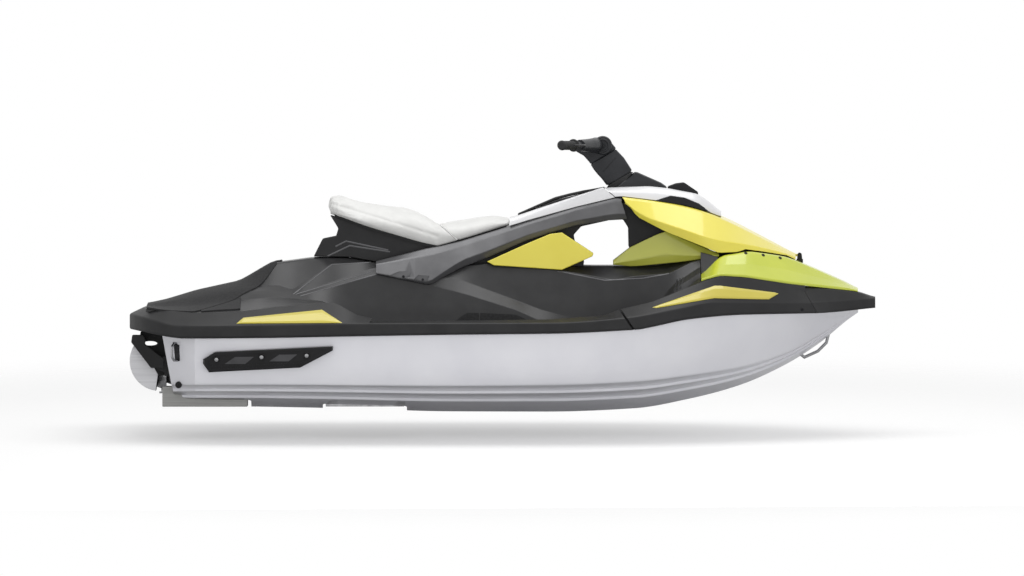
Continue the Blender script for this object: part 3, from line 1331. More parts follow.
def hood_ring(share):
    reach = min(0.028, max(0.003, min(share - 0.659, 0.893 - share)))
    low, crease = level(straight(HOOD_LOW, share)), level(soft(HOOD_CREASE, share, 0.6 * reach))
    side, top = level(soft(HOOD_SIDE, share, reach)), level(soft(HOOD_TOP, share, reach))
    low_y, crease_y, side_y = [
        abreast(soft(t, share, reach)) for t in (HOOD_LOW_Y, HOOD_CREASE_Y, HOOD_SIDE_Y)
    ]
    wall = min(0.008, 0.4 * (top - low))
    outer = [(low_y, low), (crease_y, max(crease, low + 0.004)), (side_y, side), (0, top)]
    inner = [
        (0, top - wall), (side_y - 0.6 * wall, side - wall), (crease_y - wall, crease - 0.2 * wall),
        (low_y - wall, low),
    ]
    section = outer + [(-y, z) for y, z in outer[-2::-1]] + [(-y, z) for y, z in inner[:0:-1]] + inner
    radii = [0.002, 0.004, 0.012, 0.004, 0.012, 0.004, 0.002, 0.002, 0.004, 0.01, 0.004, 0.01, 0.004, 0.002]
    lean = 0.79 if share < 0.6595 else 0
    ring = rounded([Vector((0, y, z)) for y, z in section], radii)
    return [Vector((along(share) + lean * (top - p.z), p.y, p.z)) for p in ring]


def make_hood():
    shares = [0.659, 0.664] + stations(0.671, 0.893, 0.0062)
    hood = skin("hood_shell", [hood_ring(s) for s in shares], None, 24)
    slot = block(
        "hood_slot_tool", (along(0.65), -0.076, level(0.70)), (along(0.721) + 0.006, 0.076, level(1)), None,
        0.004, 2
    )
    pivot = Vector((along(0.8985), 0, level(0.572)))
    arm_low, arm_high = (along(0.893) - 0.010, -0.019, pivot.z - 0.007), (pivot.x, 0.019, pivot.z + 0.003)
    arm = block("hinge_arm_tool", arm_low, arm_high, None, 0.001, 2)
    half_pin = Vector((0, 0.0195, 0))
    knuckle = bar("knuckle_tool", [pivot - half_pin, pivot + half_pin], 0.0088, None, 24)
    carve(hood, slot)
    carve(hood, arm, knuckle, operation="UNION")
    return finish_piece(hood, YELLOW_PAINT, 24)


seat_piece(make_hood(), "hood", "panel_yellow", "hood")

# %% Crown and its air slots
CROWN_LOW = [
    (0.6505, 0.7815), (0.659, 0.784), (0.706, 0.769), (0.742, 0.754), (0.768, 0.736), (0.793, 0.709),
]
CROWN_TOP = [
    (0.634, 0.8105), (0.654, 0.818), (0.695, 0.8225), (0.721, 0.815), (0.761, 0.795), (0.778, 0.764),
    (0.7935, 0.727),
]
CROWN_Y = [(0.6505, 0.270), (0.659, 0.272), (0.695, 0.285), (0.721, 0.28), (0.761, 0.235), (0.793, 0.15)]


def crown_ring(share):
    low, top = level(soft(CROWN_LOW, share, 0.003)) + 0.0006, level(soft(CROWN_TOP, share, 0.004))
    outer = abreast(straight(CROWN_Y, share))
    half = [
        (0, low), (outer, low), (0.96 * outer, low + 0.5 * (top - low)), (0.78 * outer, top - 0.002),
        (0, top),
    ]
    radii = [0.002, 0.003, 0.012, 0.012, 0.006]
    ring = whole_ring(half, radii)
    return [Vector((along(share) + seam_shift(share, p.z - low), p.y, p.z)) for p in ring]


def make_crown():
    crown = skin(
        "hood_crown_shell", [crown_ring(s) for s in stations(SEAM_SHARE + 0.0003, 0.793, 0.0056)], None, 40
    )
    rear_slot = crosswise("crown_slot_tool", 0.60, 0.6575, 0.110, 0.5, 1, 0.003)
    front_slot = crosswise("crown_front_tool", 0.60, 0.763, 0.076, 0.5, 1, 0.003)
    carve(crown, rear_slot, front_slot)
    return finish_piece(crown, WHITE_PAINT, 40)


seat_piece(make_crown(), "hood", "trim_white", "hood_crown")
INLAY_LOW = [(0.7049, 0.7695), (0.725, 0.7605), (0.742, 0.7535), (0.768, 0.7355), (0.7779, 0.7275)]
INLAY_HIGH = [(0.7049, 0.7700), (0.725, 0.7865), (0.7443, 0.7790), (0.7628, 0.7580), (0.7779, 0.7285)]


def inlay_ring(share):
    """A section of the black air slot that lies on the crown's side."""
    low, high = level(straight(INLAY_LOW, share)), level(straight(INLAY_HIGH, share))
    outer = abreast(straight(CROWN_Y, share)) + 0.0015
    middle = low + 0.5 * (high - low)
    return slice_at(share, [
        (outer - 0.02, low), (outer + 0.0005, low), (outer - 0.001, middle), (outer - 0.0035, high),
        (outer - 0.02, high),
    ])


inlay_marks = sorted({p[0] for p in INLAY_LOW + INLAY_HIGH} | set(stations(0.71, 0.773, 0.008)))
inlay = skin("crown_slot_port", [inlay_ring(s) for s in inlay_marks], CONSOLE_PLASTIC)
seat_pair(inlay, "hood", "vent_black")

# %% Vent and cowl
COWL_OUTLINE = [
    (0.7195, 0.746), (0.7198, 0.8195), (0.712, 0.834), (0.6805, 0.8715), (0.6765, 0.8725), (0.6545, 0.822),
    (0.6515, 0.81), (0.658, 0.769), (0.684, 0.762),
]


def make_vent():
    top = [(0.7212, 0.8205), (0.732, 0.831), (0.743, 0.835), (0.762, 0.800)]
    under = [(0.7212, 0.766), (0.742, 0.759), (0.762, 0.748)]
    vent = panel("hood_vent_block", placed(under + top[::-1]), -0.0745, 0.0745, CONSOLE_PLASTIC, 0.006, 3)
    for k in range(3):
        x = along(0.733) + 0.012 * k
        slot = block("vent_slot", (x, -0.055, level(0.826)), (x + 0.005, 0.055, level(0.85)), None, 0.001)
        carve(vent, slot)
    return finish_piece(vent, CONSOLE_PLASTIC)


def narrowed(piece, low, high, factor):
    """Draws a piece in towards the centreline, more and more with height."""
    bpy.context.view_layer.objects.active = piece
    piece.select_set(True)
    bpy.ops.object.mode_set(mode="EDIT")
    mesh = bmesh.from_edit_mesh(piece.data)
    for vert in mesh.verts:
        part = max(0.0, min(1.0, (vert.co.z - low) / (high - low)))
        vert.co.y *= 1 + (factor - 1) * part
    bmesh.update_edit_mesh(piece.data)
    bpy.ops.object.mode_set(mode="OBJECT")
    bpy.ops.object.select_all(action="DESELECT")
    return piece


seat_piece(make_vent(), "hood", "vent_black", "hood_vent")
cowl = panel("steering_cowl_block", placed(COWL_OUTLINE), -0.070, 0.070, COLUMN_PLASTIC)
narrowed(cowl, level(0.80), level(0.872), 0.55)
bevelled(cowl, 0.005, 3)
above = block("cowl_tool", (-0.25, -0.2, 0.0), (0.25, 0.2, 0.2))
pivot = Matrix.Translation((along(0.6575), 0, level(0.846)))
above.data.transform(pivot @ Matrix.Rotation(math.radians(-31), 4, "Y"))
carve(cowl, above)
finish_piece(cowl, COLUMN_PLASTIC)
seat_piece(cowl, "craft", "console_black", "steering_cowl")

# %% [markdown]
# ### Round the column's foot
#
# A rubber boot closes the gap where the column turns in the cowl, and a low dash
# panel and a bulkhead close the console behind it.

# %% Rubber boot, dash panel and bulkhead
BOOT_OUTLINE = [(0.6395, 0.8160), (0.6410, 0.8225), (0.6725, 0.8725), (0.6750, 0.8715), (0.6575, 0.8160)]
DASH_OUTLINE = [(0.6175, 0.800), (0.6175, 0.8095), (0.6350, 0.8180), (0.6366, 0.8180), (0.6366, 0.800)]
boot = panel("column_boot", placed(BOOT_OUTLINE), -0.052, 0.052, RUBBER, 0.003, 2)
seat_piece(boot, "craft", "grip_rubber")
dash = panel("dash_panel", placed(DASH_OUTLINE), -0.108, 0.108, CONSOLE_PLASTIC, 0.003, 2)
seat_piece(dash, "craft", "console_black")
bulkhead = crosswise("dash_bulkhead", 0.650, 0.675, 0.070, 0.745, 0.799, 0.002, CONSOLE_PLASTIC)
seat_piece(bulkhead, "craft", "console_black")

# %% [markdown]
# ### Riser
#
# The fairing's rear edge ends in the air above the footwells, so a dark riser
# leads from the deck up to it on both sides.

# %% Dark riser behind the bow fairing
RISER_LOW, RISER_HIGH = [(0.7650, 0.498), (0.7885, 0.556)], [(0.7650, 0.582), (0.7885, 0.567)]
rings = []
for share, half_width in ((0.7650, 0.262), (0.7885, 0.250)):
    low, high = level(straight(RISER_LOW, share)), level(straight(RISER_HIGH, share))
    corners = [(-half_width, low), (half_width, low), (half_width - 0.03, high), (-half_width + 0.03, high)]
    rings.append(slice_at(share, corners))
riser = bevelled(skin("bow_riser", rings, DECK_PLASTIC), 0.002, 2)
seat_piece(riser, "craft", "deck_plastic")

# %% [markdown]
# ## Seat base and cushions
#
# The rear seat stands on a dark moulded base with a hooked back edge and a recess
# for the grab bar. The cushions are foam under marine vinyl.

# %% Seat base
BASE_OUTLINE = [
    (0.417, 0.532), (0.38, 0.533), (0.33, 0.545), (0.295, 0.563), (0.28, 0.564), (0.246, 0.566),
    (0.2475, 0.575), (0.258, 0.631), (0.276, 0.641), (0.279, 0.668), (0.268, 0.716), (0.275, 0.711),
    (0.320, 0.668), (0.389, 0.6125), (0.413, 0.597), (0.417, 0.597),
]


def make_seat_base():
    base = panel("seat_base_shell", placed(BASE_OUTLINE), -CORE_SIDE, CORE_SIDE, None, 0.004, 2)
    recess = block(
        "handle_tool", (along(0.22), -0.085, level(0.575)), (along(0.2635) + 0.07, 0.085, level(0.650)), None,
        0.006, 2
    )
    carve(base, recess)
    return finish_piece(base, GUNWALE_PLASTIC)


base = make_seat_base()
seat_piece(base, "craft", "base_charcoal", "seat_base")

# %% Cushion forms
SEAT_LOW = [
    (0.265, 0.7235), (0.320, 0.6695), (0.389, 0.6135), (0.413, 0.600), (0.430, 0.613), (0.442, 0.623),
    (0.477, 0.652), (0.496, 0.6685), (0.519, 0.6845),
]
SEAT_TOP = [
    (0.265, 0.795), (0.2705, 0.790), (0.2893, 0.772), (0.305, 0.758), (0.3483, 0.740), (0.381, 0.735),
    (0.396, 0.711), (0.4074, 0.691), (0.424, 0.691), (0.442, 0.6965), (0.485, 0.7145), (0.511, 0.711),
    (0.519, 0.700),
]
SEAT_Y = [(0.265, 0.22), (0.275, 0.30), (0.34, 0.335), (0.42, 0.31), (0.50, 0.245), (0.519, 0.23)]
SEAM_LEAN = -1.13
COVER_PRESSURE, COVER_STIFFNESS, COVER_FRAMES = 2.5, 30, 20


def cushion_ring(share, lean=0.0, shrink=0.0):
    low = level(straight(SEAT_LOW, share)) + min(shrink, 0.001)
    top = low
    for _ in range(5):
        top = level(soft(SEAT_TOP, share + lean * (top - low) / LENGTH, 0.004)) - shrink
    breadth, thick = abreast(straight(SEAT_Y, share)) - shrink, top - low
    half = [
        (0, low), (0.86 * breadth, low), (breadth, low + 0.32 * thick), (0.93 * breadth, low + 0.78 * thick),
        (0.62 * breadth, top - 0.03 * thick), (0, top),
    ]
    radii = [0.01, 0.02, 0.02, 0.02, 0.03, 0.02]
    ring = whole_ring(half, radii, 4)
    return [Vector((along(share) + lean * (p.z - low), p.y, p.z)) for p in ring]


def stuffed(piece, voxel, most):
    """Blows a cover up a little with its foot held, and keeps every point within a distance of its form."""
    piece.data.remesh_voxel_size = voxel
    bpy.ops.object.select_all(action="DESELECT")
    bpy.context.view_layer.objects.active = piece
    piece.select_set(True)
    bpy.ops.object.voxel_remesh()
    start = np.array([v.co for v in piece.data.vertices])
    seam = np.abs(start[:, 0] - along(0.4401) - SEAM_LEAN * (start[:, 2] - level(0.621)))
    foot = level(np.interp(start[:, 0], [along(x) for x, _ in SEAT_LOW], [z for _, z in SEAT_LOW]))
    held = piece.vertex_groups.new(name="held")
    held.add([int(k) for k in np.flatnonzero((start[:, 2] < foot + 0.012) | (seam < 0.012))], 1.0, "REPLACE")
    cloth = piece.modifiers.new("cover", "CLOTH")
    cloth.settings.vertex_group_mass = "held"
    cloth.settings.use_pressure = True
    cloth.settings.uniform_pressure_force = COVER_PRESSURE
    cloth.settings.tension_stiffness = cloth.settings.compression_stiffness = COVER_STIFFNESS
    cloth.settings.effector_weights.gravity = 0
    cloth.settings.quality = 4
    scene = bpy.context.scene
    scene.frame_start, scene.frame_end = 1, COVER_FRAMES
    for number in range(1, COVER_FRAMES + 1):
        scene.frame_set(number)
    blown = piece.evaluated_get(bpy.context.evaluated_depsgraph_get())
    moved = np.array([v.co for v in blown.to_mesh().vertices]) - start
    blown.to_mesh_clear()
    reach = np.linalg.norm(moved, axis=1)
    moved *= np.minimum(1.0, most / np.maximum(reach, 1e-9))[:, None]
    piece.modifiers.remove(cloth)
    piece.data.vertices.foreach_set("co", (start + moved).ravel())
    scene.frame_set(1)
    piece.vertex_groups.clear()
    print(piece.name, len(start), "points, moved up to", round(1000 * float(reach.max()), 1), "mm")
    piece.data.shade_smooth()
    return piece


def make_cushion(name, marks):
    """A cushion: its foam form, then the cover pressed tight over it by a short cloth simulation."""
    shrink = 0.007
    piece = skin(name, [cushion_ring(share, lean, shrink) for share, lean in marks], VINYL, 40)
    return stuffed(piece, 0.0055, 0.016)


def sewn(piece, line, depth, width):
    """A sewn channel in both sides of a cushion along a line given in shares."""
    mesh = piece.data
    points = np.array([v.co for v in mesh.vertices])
    normals = np.array([v.normal for v in mesh.vertices])
    track = np.array([(along(x), level(z)) for x, z in line])
    best = np.full(len(points), 9.0)
    for a, b in zip(track[:-1], track[1:]):
        run = b - a
        part = np.clip(((points[:, [0, 2]] - a) @ run) / (run @ run), 0, 1)
        best = np.minimum(best, np.linalg.norm(points[:, [0, 2]] - a - part[:, None] * run, axis=1))
    press = depth * np.exp(-((best / width) ** 2)) * (np.abs(normals[:, 1]) > 0.3)
    mesh.vertices.foreach_set("co", (points - normals * press[:, None]).ravel())


rear_marks = [(s, 0.0) for s in [0.2685, 0.272, 0.278, 0.288] + stations(0.297, 0.376, 0.0088)]
rear_marks += [
    (0.395, SEAM_LEAN * 0.3), (0.413, SEAM_LEAN * 0.6), (0.428, SEAM_LEAN * 0.85), (0.4395, SEAM_LEAN),
]
front_marks = [(0.4408, SEAM_LEAN), (0.452, SEAM_LEAN * 0.6), (0.463, SEAM_LEAN * 0.25), (0.473, 0.0)]
front_marks += [(s, 0.0) for s in stations(0.480, 0.5085, 0.0071)]
seat_rear = make_cushion("seat_rear_cushion", rear_marks)
seat_front = make_cushion("seat_front_cushion", front_marks)
pan_rings = []
for share in stations(0.274, 0.505, 0.0115):
    low = level(straight(SEAT_LOW, share))
    wide = 0.82 * abreast(straight(SEAT_Y, share))
    corners = [(-wide, low - 0.006), (wide, low - 0.006), (wide, low + 0.006), (-wide, low + 0.006)]
    pan_rings.append(slice_at(share, corners))
pan = skin("seat_pan", pan_rings, CONSOLE_PLASTIC, 30)
seat_piece(pan, "craft", "base_charcoal")
sewn(seat_rear, [(0.272, 0.757), (0.355, 0.6885), (0.4115, 0.640)], 0.0035, 0.006)
sewn(seat_front, [(0.4095, 0.682), (0.4415, 0.6195)], 0.003, 0.006)
for piece, node in ((seat_rear, "seat_rear"), (seat_front, "seat_front")):
    seat_piece(piece, "craft", "seat_vinyl", node)

# %% [markdown]
# ## Steering
#
# The column leans back with a round pad on top. The handlebar sweeps back to
# ribbed rubber grips, with a switch housing and a lever on each side.

# %% Column and pad
STEER_LEAN = math.radians(31)
STEER_ORIGIN = Vector((along(0.6575), 0, level(0.846)))
STEER_AXIS = Vector((-math.sin(STEER_LEAN), 0, math.cos(STEER_LEAN)))
STEER_AHEAD = Vector((math.cos(STEER_LEAN), 0, math.sin(STEER_LEAN)))


def on_column(forward, side, up):
    return STEER_ORIGIN + STEER_AHEAD * forward + STEER_AXIS * up + Vector((0, side, 0))


def column_ring(up, rear, front, width):
    corners = [
        on_column(f, s, up) for f, s in ((rear, -width), (front, -width), (front, width), (rear, width))
    ]
    return rounded(corners, [0.012] * 4)


def make_column():
    sections = [
        (0.0012, -0.056, 0.056, 0.044), (0.0062, -0.057, 0.057, 0.045), (0.0072, -0.061, 0.061, 0.049),
        (0.012, -0.063, 0.062, 0.050), (0.041, -0.066, 0.061, 0.052), (0.070, -0.072, 0.060, 0.052),
        (0.092, -0.075, 0.055, 0.050), (0.115, -0.0755, 0.050, 0.048), (0.117, -0.0735, 0.048, 0.046),
    ]
    column = skin("steering_column_shell", [column_ring(*s) for s in sections], None, 30)
    grooves = []
    for side in (-1, 1):
        corners = [
            on_column(f, side * 0.0475, up)
            for f, up in ((-0.045, 0.062), (0.030, 0.085), (0.030, 0.089), (-0.045, 0.066))
        ]
        grooves.append(skin("groove_tool", [corners, [c + Vector((0, side * 0.02, 0)) for c in corners]]))
    carve(column, *grooves)
    return finish_piece(column, COLUMN_PLASTIC, 30)


seat_piece(make_column(), "steering", "column_black", "steering_column")

# %% Handlebar, pad and switch housings
GRIP_LENGTH, HOUSING_LENGTH, HOUSING_RADIUS = 0.125, 0.060, 0.030
HUB = on_column(0.010, 0, 0.160)
BEND = HUB + Vector((-0.175 * 0.16, 0.0713, 0))
BAR_END = HUB + Vector((-0.175, 0.385, 0))
BAR_RUN = (BAR_END - BEND).normalized()


def on_bar(back):
    """A point on the straight run of the port bar, measured back from its end."""
    return BAR_END - BAR_RUN * back


def make_handlebar():
    inner, house = on_bar(GRIP_LENGTH + 0.0004), on_bar(GRIP_LENGTH + HOUSING_LENGTH)
    start = BEND - Vector((0, 0.025, 0))
    sleeve = eased([start, BEND + BAR_RUN * 0.03, (BEND + house) / 2, house], 4)
    sleeve_radii = [0.034 - 0.010 * k / (len(sleeve) - 1) for k in range(len(sleeve))]
    bar_half = bar("handlebar_shell", sleeve, sleeve_radii, None, 20)
    reach = (house - inner).length
    profile = [
        (0.0, 0.024), (0.0, HOUSING_RADIUS - 0.003), (0.003, HOUSING_RADIUS), (reach - 0.003, HOUSING_RADIUS),
        (reach, HOUSING_RADIUS - 0.003), (reach, 0.020),
    ]
    housing = bar(
        "housing_tool", [house + BAR_RUN * d for d, _ in profile], [r for _, r in profile], None, 24
    )
    core = bar("core_tool", [house, BAR_END - BAR_RUN * 0.02], 0.0158, None, 16)
    carve(bar_half, housing, core, operation="UNION")
    twin = other_side(bar_half, "bar_tool")
    pad_profile = [
        (-0.062, 0.034), (-0.060, 0.037), (-0.056, 0.040), (0.056, 0.040), (0.060, 0.037), (0.062, 0.034),
    ]
    pad = bar(
        "pad_tool", [HUB + Vector((0, d, 0)) for d, _ in pad_profile], [r for _, r in pad_profile], None, 32
    )
    shroud = [
        (-0.0740, 0.1172), (0.0490, 0.1172), (0.0515, 0.124), (0.0460, 0.161), (0.0345, 0.180),
        (0.0160, 0.1950), (-0.008, 0.2040), (-0.0195, 0.1985), (-0.0538, 0.2150), (-0.0950, 0.2120),
        (-0.1000, 0.197), (-0.0814, 0.1638), (-0.0755, 0.1330),
    ]
    sides = [[on_column(f, y, up) for f, up in shroud] for y in (-0.047, 0.047)]
    neck = bevelled(skin("neck_tool", sides), 0.006, 3)
    carve(bar_half, twin, pad, neck, operation="UNION")
    return finish_piece(bar_half, COLUMN_PLASTIC, 35)


def make_side_cap(side):
    """The round cap over the bar clamp, with a raised rim and a hub."""
    profile = [
        (-0.006, 0.029), (0.006, 0.029), (0.009, 0.0265), (0.009, 0.0225), (0.005, 0.0205), (0.005, 0.0125),
        (0.009, 0.0110), (0.010, 0.0085), (0.007, 0.0065),
    ]
    return turned(
        "bar_cap", profile, HUB + Vector((0, side * 0.058, 0)), (0, side, 0), COLUMN_PLASTIC, 32, 30
    )


seat_piece(make_handlebar(), "steering", "bar_black", "handlebar")
seat_piece(joined("bar_caps", make_side_cap(-1), make_side_cap(1)), "steering", "bar_black")

# %% Grips and levers
def make_grip():
    """A rubber sleeve with an inner flange, fine ribs and a domed end."""
    profile = [
        (GRIP_LENGTH, 0.017), (GRIP_LENGTH, 0.026), (GRIP_LENGTH - 0.003, 0.0268),
        (GRIP_LENGTH - 0.006, 0.026), (GRIP_LENGTH - 0.0075, 0.0185),
    ]
    for k in range(22):
        back = GRIP_LENGTH - 0.012 - 0.0046 * k
        profile += [(back, 0.0176), (back - 0.0012, 0.0187), (back - 0.0034, 0.0187), (back - 0.0046, 0.0176)]
    profile += [(0.0115, 0.0195), (0.0085, 0.0205), (0.004, 0.0200), (0.001, 0.0165), (0.0, 0.011)]
    return turned("grip_port", profile, on_bar(0), on_bar(0.1) - on_bar(0), RUBBER, 24, 50)


def make_lever():
    out = Vector((BAR_RUN.y, -BAR_RUN.x, 0)).normalized()
    root = on_bar(GRIP_LENGTH + HOUSING_LENGTH * 0.5) + out * 0.036
    elbow = on_bar(GRIP_LENGTH - 0.01) + out * 0.048
    tip = on_bar(GRIP_LENGTH * 0.25) + out * 0.0456
    route = eased([root, elbow, (elbow + tip) / 2 + out * 0.002, tip], 5)
    radii = [0.0055] * (len(route) - 4) + [0.0052, 0.005, 0.0046, 0.0036]
    return bar("lever_port", route, radii, DARK_METAL, 14)


seat_pair(make_grip(), "steering", "grip_rubber", "grip")
seat_pair(make_lever(), "steering", "lever_metal", "lever")

# %% [markdown]
# ## Sponsons
#
# Each sponson is a long shaped block that follows the hull's side. It has a recess
# with two grey pads, a groove below it and three bolts in dished washers.

# %% Sponsons
SPONSON_LOW = [(0.099, 0.181), (0.107, 0.150), (0.229, 0.167), (0.2725, 0.229)]
SPONSON_HIGH = [(0.099, 0.197), (0.115, 0.2235), (0.2725, 0.2445)]
RECESS_LOW = [(0.105, 0.185), (0.1065, 0.172), (0.232, 0.1875), (0.264, 0.2325)]
RECESS_HIGH = [(0.105, 0.187), (0.116, 0.211), (0.264, 0.2335)]
GROOVE_LOW, GROOVE_HIGH = [(0.107, 0.1625), (0.231, 0.1755)], [(0.107, 0.1665), (0.231, 0.1795)]
PAD_SHARES = [
    (
        [(0.1283, 0.180), (0.1553, 0.180), (0.1668, 0.2055)],
        [(0.1283, 0.1805), (0.1417, 0.2055), (0.1668, 0.2065)]
    ),
    (
        [(0.1881, 0.190), (0.2137, 0.190), (0.2247, 0.2142)],
        [(0.1881, 0.1905), (0.2009, 0.2142), (0.2247, 0.2152)]
    ),
]
SPONSON_BOLTS = [(0.1172, 0.196), (0.1774, 0.2047), (0.2377, 0.2105)]
SPONSON_DEPTH, RECESS_FLOOR, TAPER = 0.028, 0.024, 0.0022


def side_band(name, low, high, inner, outer, material=None, radius=0.0, taper=0.0):
    """A band that follows the hull's side between two lines."""
    first, last = low[0][0], low[-1][0]
    marks = {p[0] for p in low + high} | set(stations(first, last, 0.008))
    if taper:
        marks |= {first + taper, last - taper}
    rings = []
    for share in sorted(marks):
        bottom = level(straight(low, share))
        top = max(level(straight(high, share)), bottom + 0.0012)
        end = min(share - first, last - share)
        out = outer * (0.6 + 0.4 * min(1.0, end / taper)) if taper else outer
        spots = [(bottom, inner), (bottom, out), (0.5 * (bottom + top), out), (top, out), (top, inner)]
        corners = [Vector((along(share), hull_side(share, z) + d, z)) for z, d in spots]
        small = min(radius, 0.3 * (top - bottom))
        rings.append(rounded(corners, [0, small, 0, small, 0]))
    return skin(name, rings, material, 30)


def dished_washer(place, normal):
    """The black dished washer under a sponson bolt."""
    profile = [(-0.001, 0.0155), (0.0024, 0.0155), (0.0034, 0.0142), (0.0014, 0.0112), (0.0010, 0.0095)]
    return turned("washer", profile, place, normal, CONSOLE_PLASTIC, 24, 30)


sponson = side_band("sponson_port", SPONSON_LOW, SPONSON_HIGH, 0.0006, SPONSON_DEPTH, None, 0.006, TAPER)
recess = side_band("recess_tool", RECESS_LOW, RECESS_HIGH, RECESS_FLOOR, 0.045)
groove = side_band("groove_tool", GROOVE_LOW, GROOVE_HIGH, 0.0245, 0.045)
carve(sponson, recess, groove)
finish_piece(sponson, SPONSON_PLASTIC, 30)
pads = []
for low, high in PAD_SHARES:
    pads.append(side_band("pad", low, high, RECESS_FLOOR + 0.0002, RECESS_FLOOR + 0.0022, RECESS_PLASTIC))
washers, heads = [], []
for share, height in SPONSON_BOLTS:
    place, normal = touch(sponson, share, height, 1)
    washers.append(dished_washer(place, normal))
    heads.append(bolt("sponson_bolt", place + normal * 0.001, normal, 0.0095, STEEL))
seat_pair(sponson, "craft", "sponson_black", "sponson")
seat_pair(joined("sponson_pads_port", *pads), "craft", "sponson_black")
seat_pair(joined("sponson_washers_port", *washers), "craft", "sponson_black")
seat_pair(joined("sponson_bolts_port", *heads), "craft", "eye_steel")

# %% [markdown]
# ## Mats
#
# The foam mats are cut in pads with narrow gaps, and each pad lies on the deck's
# own surface.

# %% Pads draped over the deck
MAT_WIDTH = [
    (0.0228, 0.370), (0.041, 0.400), (0.050, 0.4132), (0.084, 0.4132), (0.150, 0.277), (0.163, 0.247),
    (0.199, 0.128),
]
LANE, MAT_GAP = 0.105, 0.006


def deck_height(share, y):
    """The height of the deck's upper surface at a distance from the centreline."""
    outline = deck_half(share)[4:][::-1]
    return float(np.interp(y, [p[0] for p in outline], [p[1] for p in outline]))


def draped(name, start, end, inner, outer, rise=0.006, sink=0.003, count=11):
    """A pad between two lines that follows the deck, bevelled along its edges."""
    rings = []
    for share in stations(start, end, 0.008):
        low, high = inner(share), outer(share)
        ys = [low + (high - low) * k / (count - 1) for k in range(count)]
        top = [Vector((along(share), y, deck_height(share, abs(y)) + rise)) for y in ys]
        under = [Vector((p.x, p.y, p.z - rise - sink)) for p in reversed(top)]
        rings.append(top + under)
    return bevelled(skin(name, rings, FOAM, 30), 0.002, 2)


def make_rear_mats():
    """The centre pad, then the side pad and the outer wing of the port side and their twins."""
    centre = draped("centre", 0.0228, 0.2035, lambda s: -LANE, lambda s: LANE, count=17)
    side = draped("side", 0.0228, 0.196, lambda s: LANE + MAT_GAP, lambda s: straight(MAT_WIDTH, s))
    wing = draped("wing", 0.096, 0.1485, lambda s: straight(MAT_WIDTH, s) + MAT_GAP, lambda s: 0.4132)
    return [centre, side, wing] + [other_side(piece, piece.name + "_twin") for piece in (side, wing)]


rear_mats = joined("rear_mat_pads", *make_rear_mats())
seat_piece(rear_mats, "craft", "mat_foam", "rear_mat")
foot_marks = [(0.381, 0.468), (0.4695, 0.558), (0.5595, 0.649)]
foot_pads = [draped("foot", a, b, lambda s: 0.2725, lambda s: 0.4475, 0.0112, 0.0) for a, b in foot_marks]
seat_pair(joined("foot_mat_port", *foot_pads), "craft", "mat_foam", "foot_mat")

# %% [markdown]
# ## Stern and pump fittings
#
# The step, its bracket, the bucket, the ride plate, the grab handle and the hood's
# hinge keep their CAD shape with rounded edges. Bolts, drain plugs and tie-down
# plates come on top.

# %% Rounded castings and fittings
POLISHED = make_brushed("polished bucket alloy", "B9B9BC", "CECED1", 0.3)
ROUNDED = [
    ("boarding_step", CONSOLE_PLASTIC, 0.004, "step", "step_black"),
    ("step_bracket", CONSOLE_PLASTIC, 0.003, "craft", "step_black"),
    ("reverse_bucket", POLISHED, 0.0015, "bucket", "bucket_alloy"),
    ("ride_plate", SHEET_METAL, 0.002, "craft", "ride_plate_alloy"),
    ("grab_handle", CONSOLE_PLASTIC, 0.003, "craft", "handle_black"),
    ("hood_hinge", CONSOLE_PLASTIC, 0.002, "craft", "hinge_black"),
]
for node, finish, width, body, slot in ROUNDED:
    seat_piece(rounded_copy(node, finish, width), body, slot, node)

# %% [markdown]
# ### Seal
#
# A rubber strip stands on the fairing under the hood's rim. It closes the gap
# that would let water and light in.

# %% Seal under the hood's rim
rings = []
for share in stations(0.786, 0.892, 0.006):
    out = min(0.122, abreast(straight(HOOD_LOW_Y, share)) - 0.014)
    low, high = level(straight(FAIRING_TOP, share)) - 0.008, level(straight(HOOD_LOW, share)) + 0.005
    rings.append(slice_at(share, [(out - 0.006, low), (out, low), (out, high), (out - 0.006, high)]))
seat_pair(skin("hood_seal_port", rings, RUBBER, 30), "craft", "console_black")

# %% [markdown]
# ### Plugs, ribs and louvres
#
# The fairing has three rubber plugs a side. Thin raised ribs run along the folds
# of the seat base and the deck, and louvres stand at the front of each footwell.

# %% Plugs, ribs and louvres on both sides
DOTS = [(0.8255, 0.5790), (0.849, 0.5715), (0.8718, 0.5610)]
dots = bolts_on("fairing_plugs", fairing, DOTS, 0.0080, RUBBER, -0.002)
seat_piece(dots, "craft", "console_black")
BASE_RIDGES = [
    [(0.2754, 0.6018), (0.2895, 0.6214), (0.346, 0.5888)],
    [(0.2648, 0.567), (0.2942, 0.605), (0.3483, 0.5826)],
]
ridges = ribs_on("seat_base_ridges", base, BASE_RIDGES, 0.007, 0.002, ARM_PLASTIC)
seat_piece(ridges, "craft", "base_charcoal")
DECK_RIBS = [
    [(0.2189, 0.430), (0.2705, 0.538), (0.3225, 0.5453)], [(0.2221, 0.430), (0.3295, 0.5163)],
    [(0.2283, 0.4239), (0.3319, 0.5033)],
    [(0.5732, 0.5138), (0.6362, 0.4801), (0.6883, 0.4873), (0.7225, 0.5047)],
]
LOUVRES = [
    [(0.7282, 0.4366), (0.7336, 0.4837)], [(0.7329, 0.4457), (0.7376, 0.4873)],
    [(0.7376, 0.4511), (0.7416, 0.4909)],
]
deck_ribs = ribs_on("deck_ribs", deck, DECK_RIBS, 0.005, 0.0014, ARM_PLASTIC)
louvres = ribs_on("deck_louvres", deck, LOUVRES, 0.006, 0.002, CONSOLE_PLASTIC)
seat_piece(deck_ribs, "craft", "deck_plastic")
seat_piece(louvres, "craft", "deck_plastic")

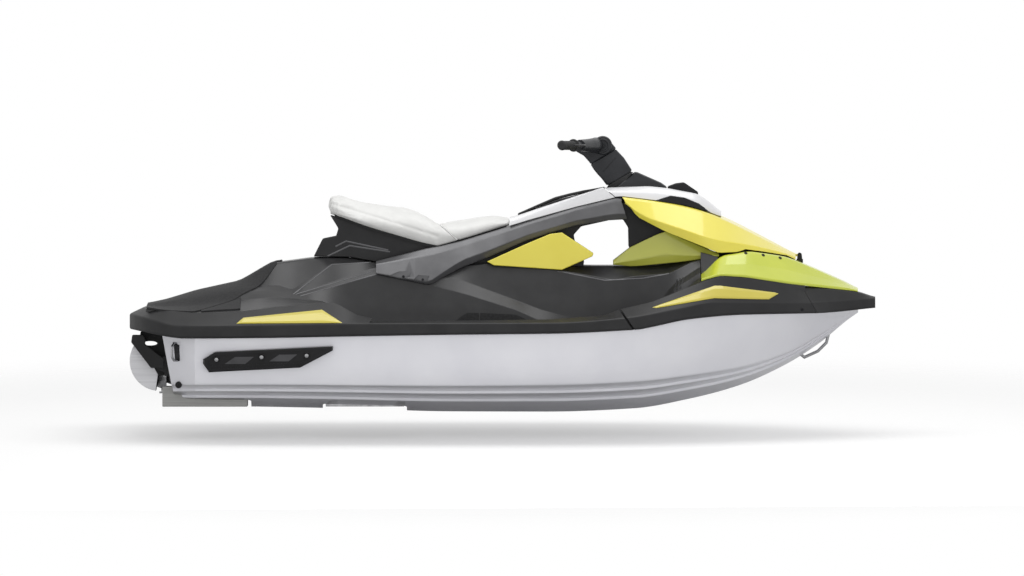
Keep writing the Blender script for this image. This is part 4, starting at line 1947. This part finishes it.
# %% [markdown]
# ### Plates and plugs at the stern
#
# A bolted plate with an oval opening stands between the step and the pump. Behind
# each tie-down eye is a thin plate, and below it a drain plug.

# %% Mount plate, eye plates and drain plugs
MOUNT_OUTLINE = [
    (0.0114, 0.2627), (0.0141, 0.2953), (0.0427, 0.2953), (0.0530, 0.1395), (0.0383, 0.1322),
    (0.0208, 0.2192),
]
EYE_PLATE = [(0.0597, 0.2554), (0.0671, 0.2482), (0.0678, 0.1902), (0.0617, 0.1902)]


def make_mount_plate():
    """The black plate between the step and the pump, with an oval opening."""
    mount = panel("step_mount_plate", placed(MOUNT_OUTLINE), -0.158, -0.125, None, 0.003, 2)
    turns = [math.tau * k / 24 for k in range(24)]
    oval = [(along(0.0268) + 0.0295 * math.cos(a), level(0.2518) + 0.0092 * math.sin(a)) for a in turns]
    carve(mount, panel("oval_tool", oval, -0.20, -0.10))
    return finish_piece(mount, CONSOLE_PLASTIC)


seat_piece(make_mount_plate(), "craft", "step_black")
spots = placed([(0.0436, 0.1888), (0.0455, 0.1520)])
screws = [bolt("screw", (x, -0.158, z), (0, -1, 0), 0.007, DARK_METAL) for x, z in spots]
seat_piece(joined("mount_bolts", *screws), "craft", "step_black")
eye_plates = bevelled(side_plates("stern_eye_plates", hull, EYE_PLATE, 0.003, DARK_METAL), 0.0012, 2)
seat_piece(eye_plates, "craft", "eye_steel")
plugs = []
for side in (-1, 1):
    place = touch(hull, 0.0658, 0.118, side)[0]
    place.z = level(0.1035)
    profile = [(-0.002, 0.0145), (0.006, 0.0145), (0.009, 0.012), (0.009, 0.006), (0.006, 0.005)]
    plugs.append(turned("plug", profile, place, (0, side, 0), CONSOLE_PLASTIC, 24, 30))
seat_piece(joined("drain_plugs", *plugs), "craft", "console_black")

# %% [markdown]
# ## CAD solids that stay as they are
#
# The deck's bow part, the pump housing and nozzle, the impeller, the grate, the
# eyes and the plain engine block already have their true shape, so they only get
# their metal or plastic.

# %% Materials for the carried-over solids
CARRIED = {
    "deck_bow": DECK_PLASTIC, "engine_block": CAST_METAL, "pump_housing": CAST_METAL,
    "steering_nozzle": CAST_METAL,
    "impeller": STEEL, "intake_grate": CAST_METAL, "bow_eye": STEEL, "stern_eye_left": STEEL,
    "stern_eye_right": STEEL,
}
for name, finish in CARRIED.items():
    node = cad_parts[name]
    node.data.materials.clear()
    node.data.materials.append(finish)
print(len(CARRIED), "solids carried over")
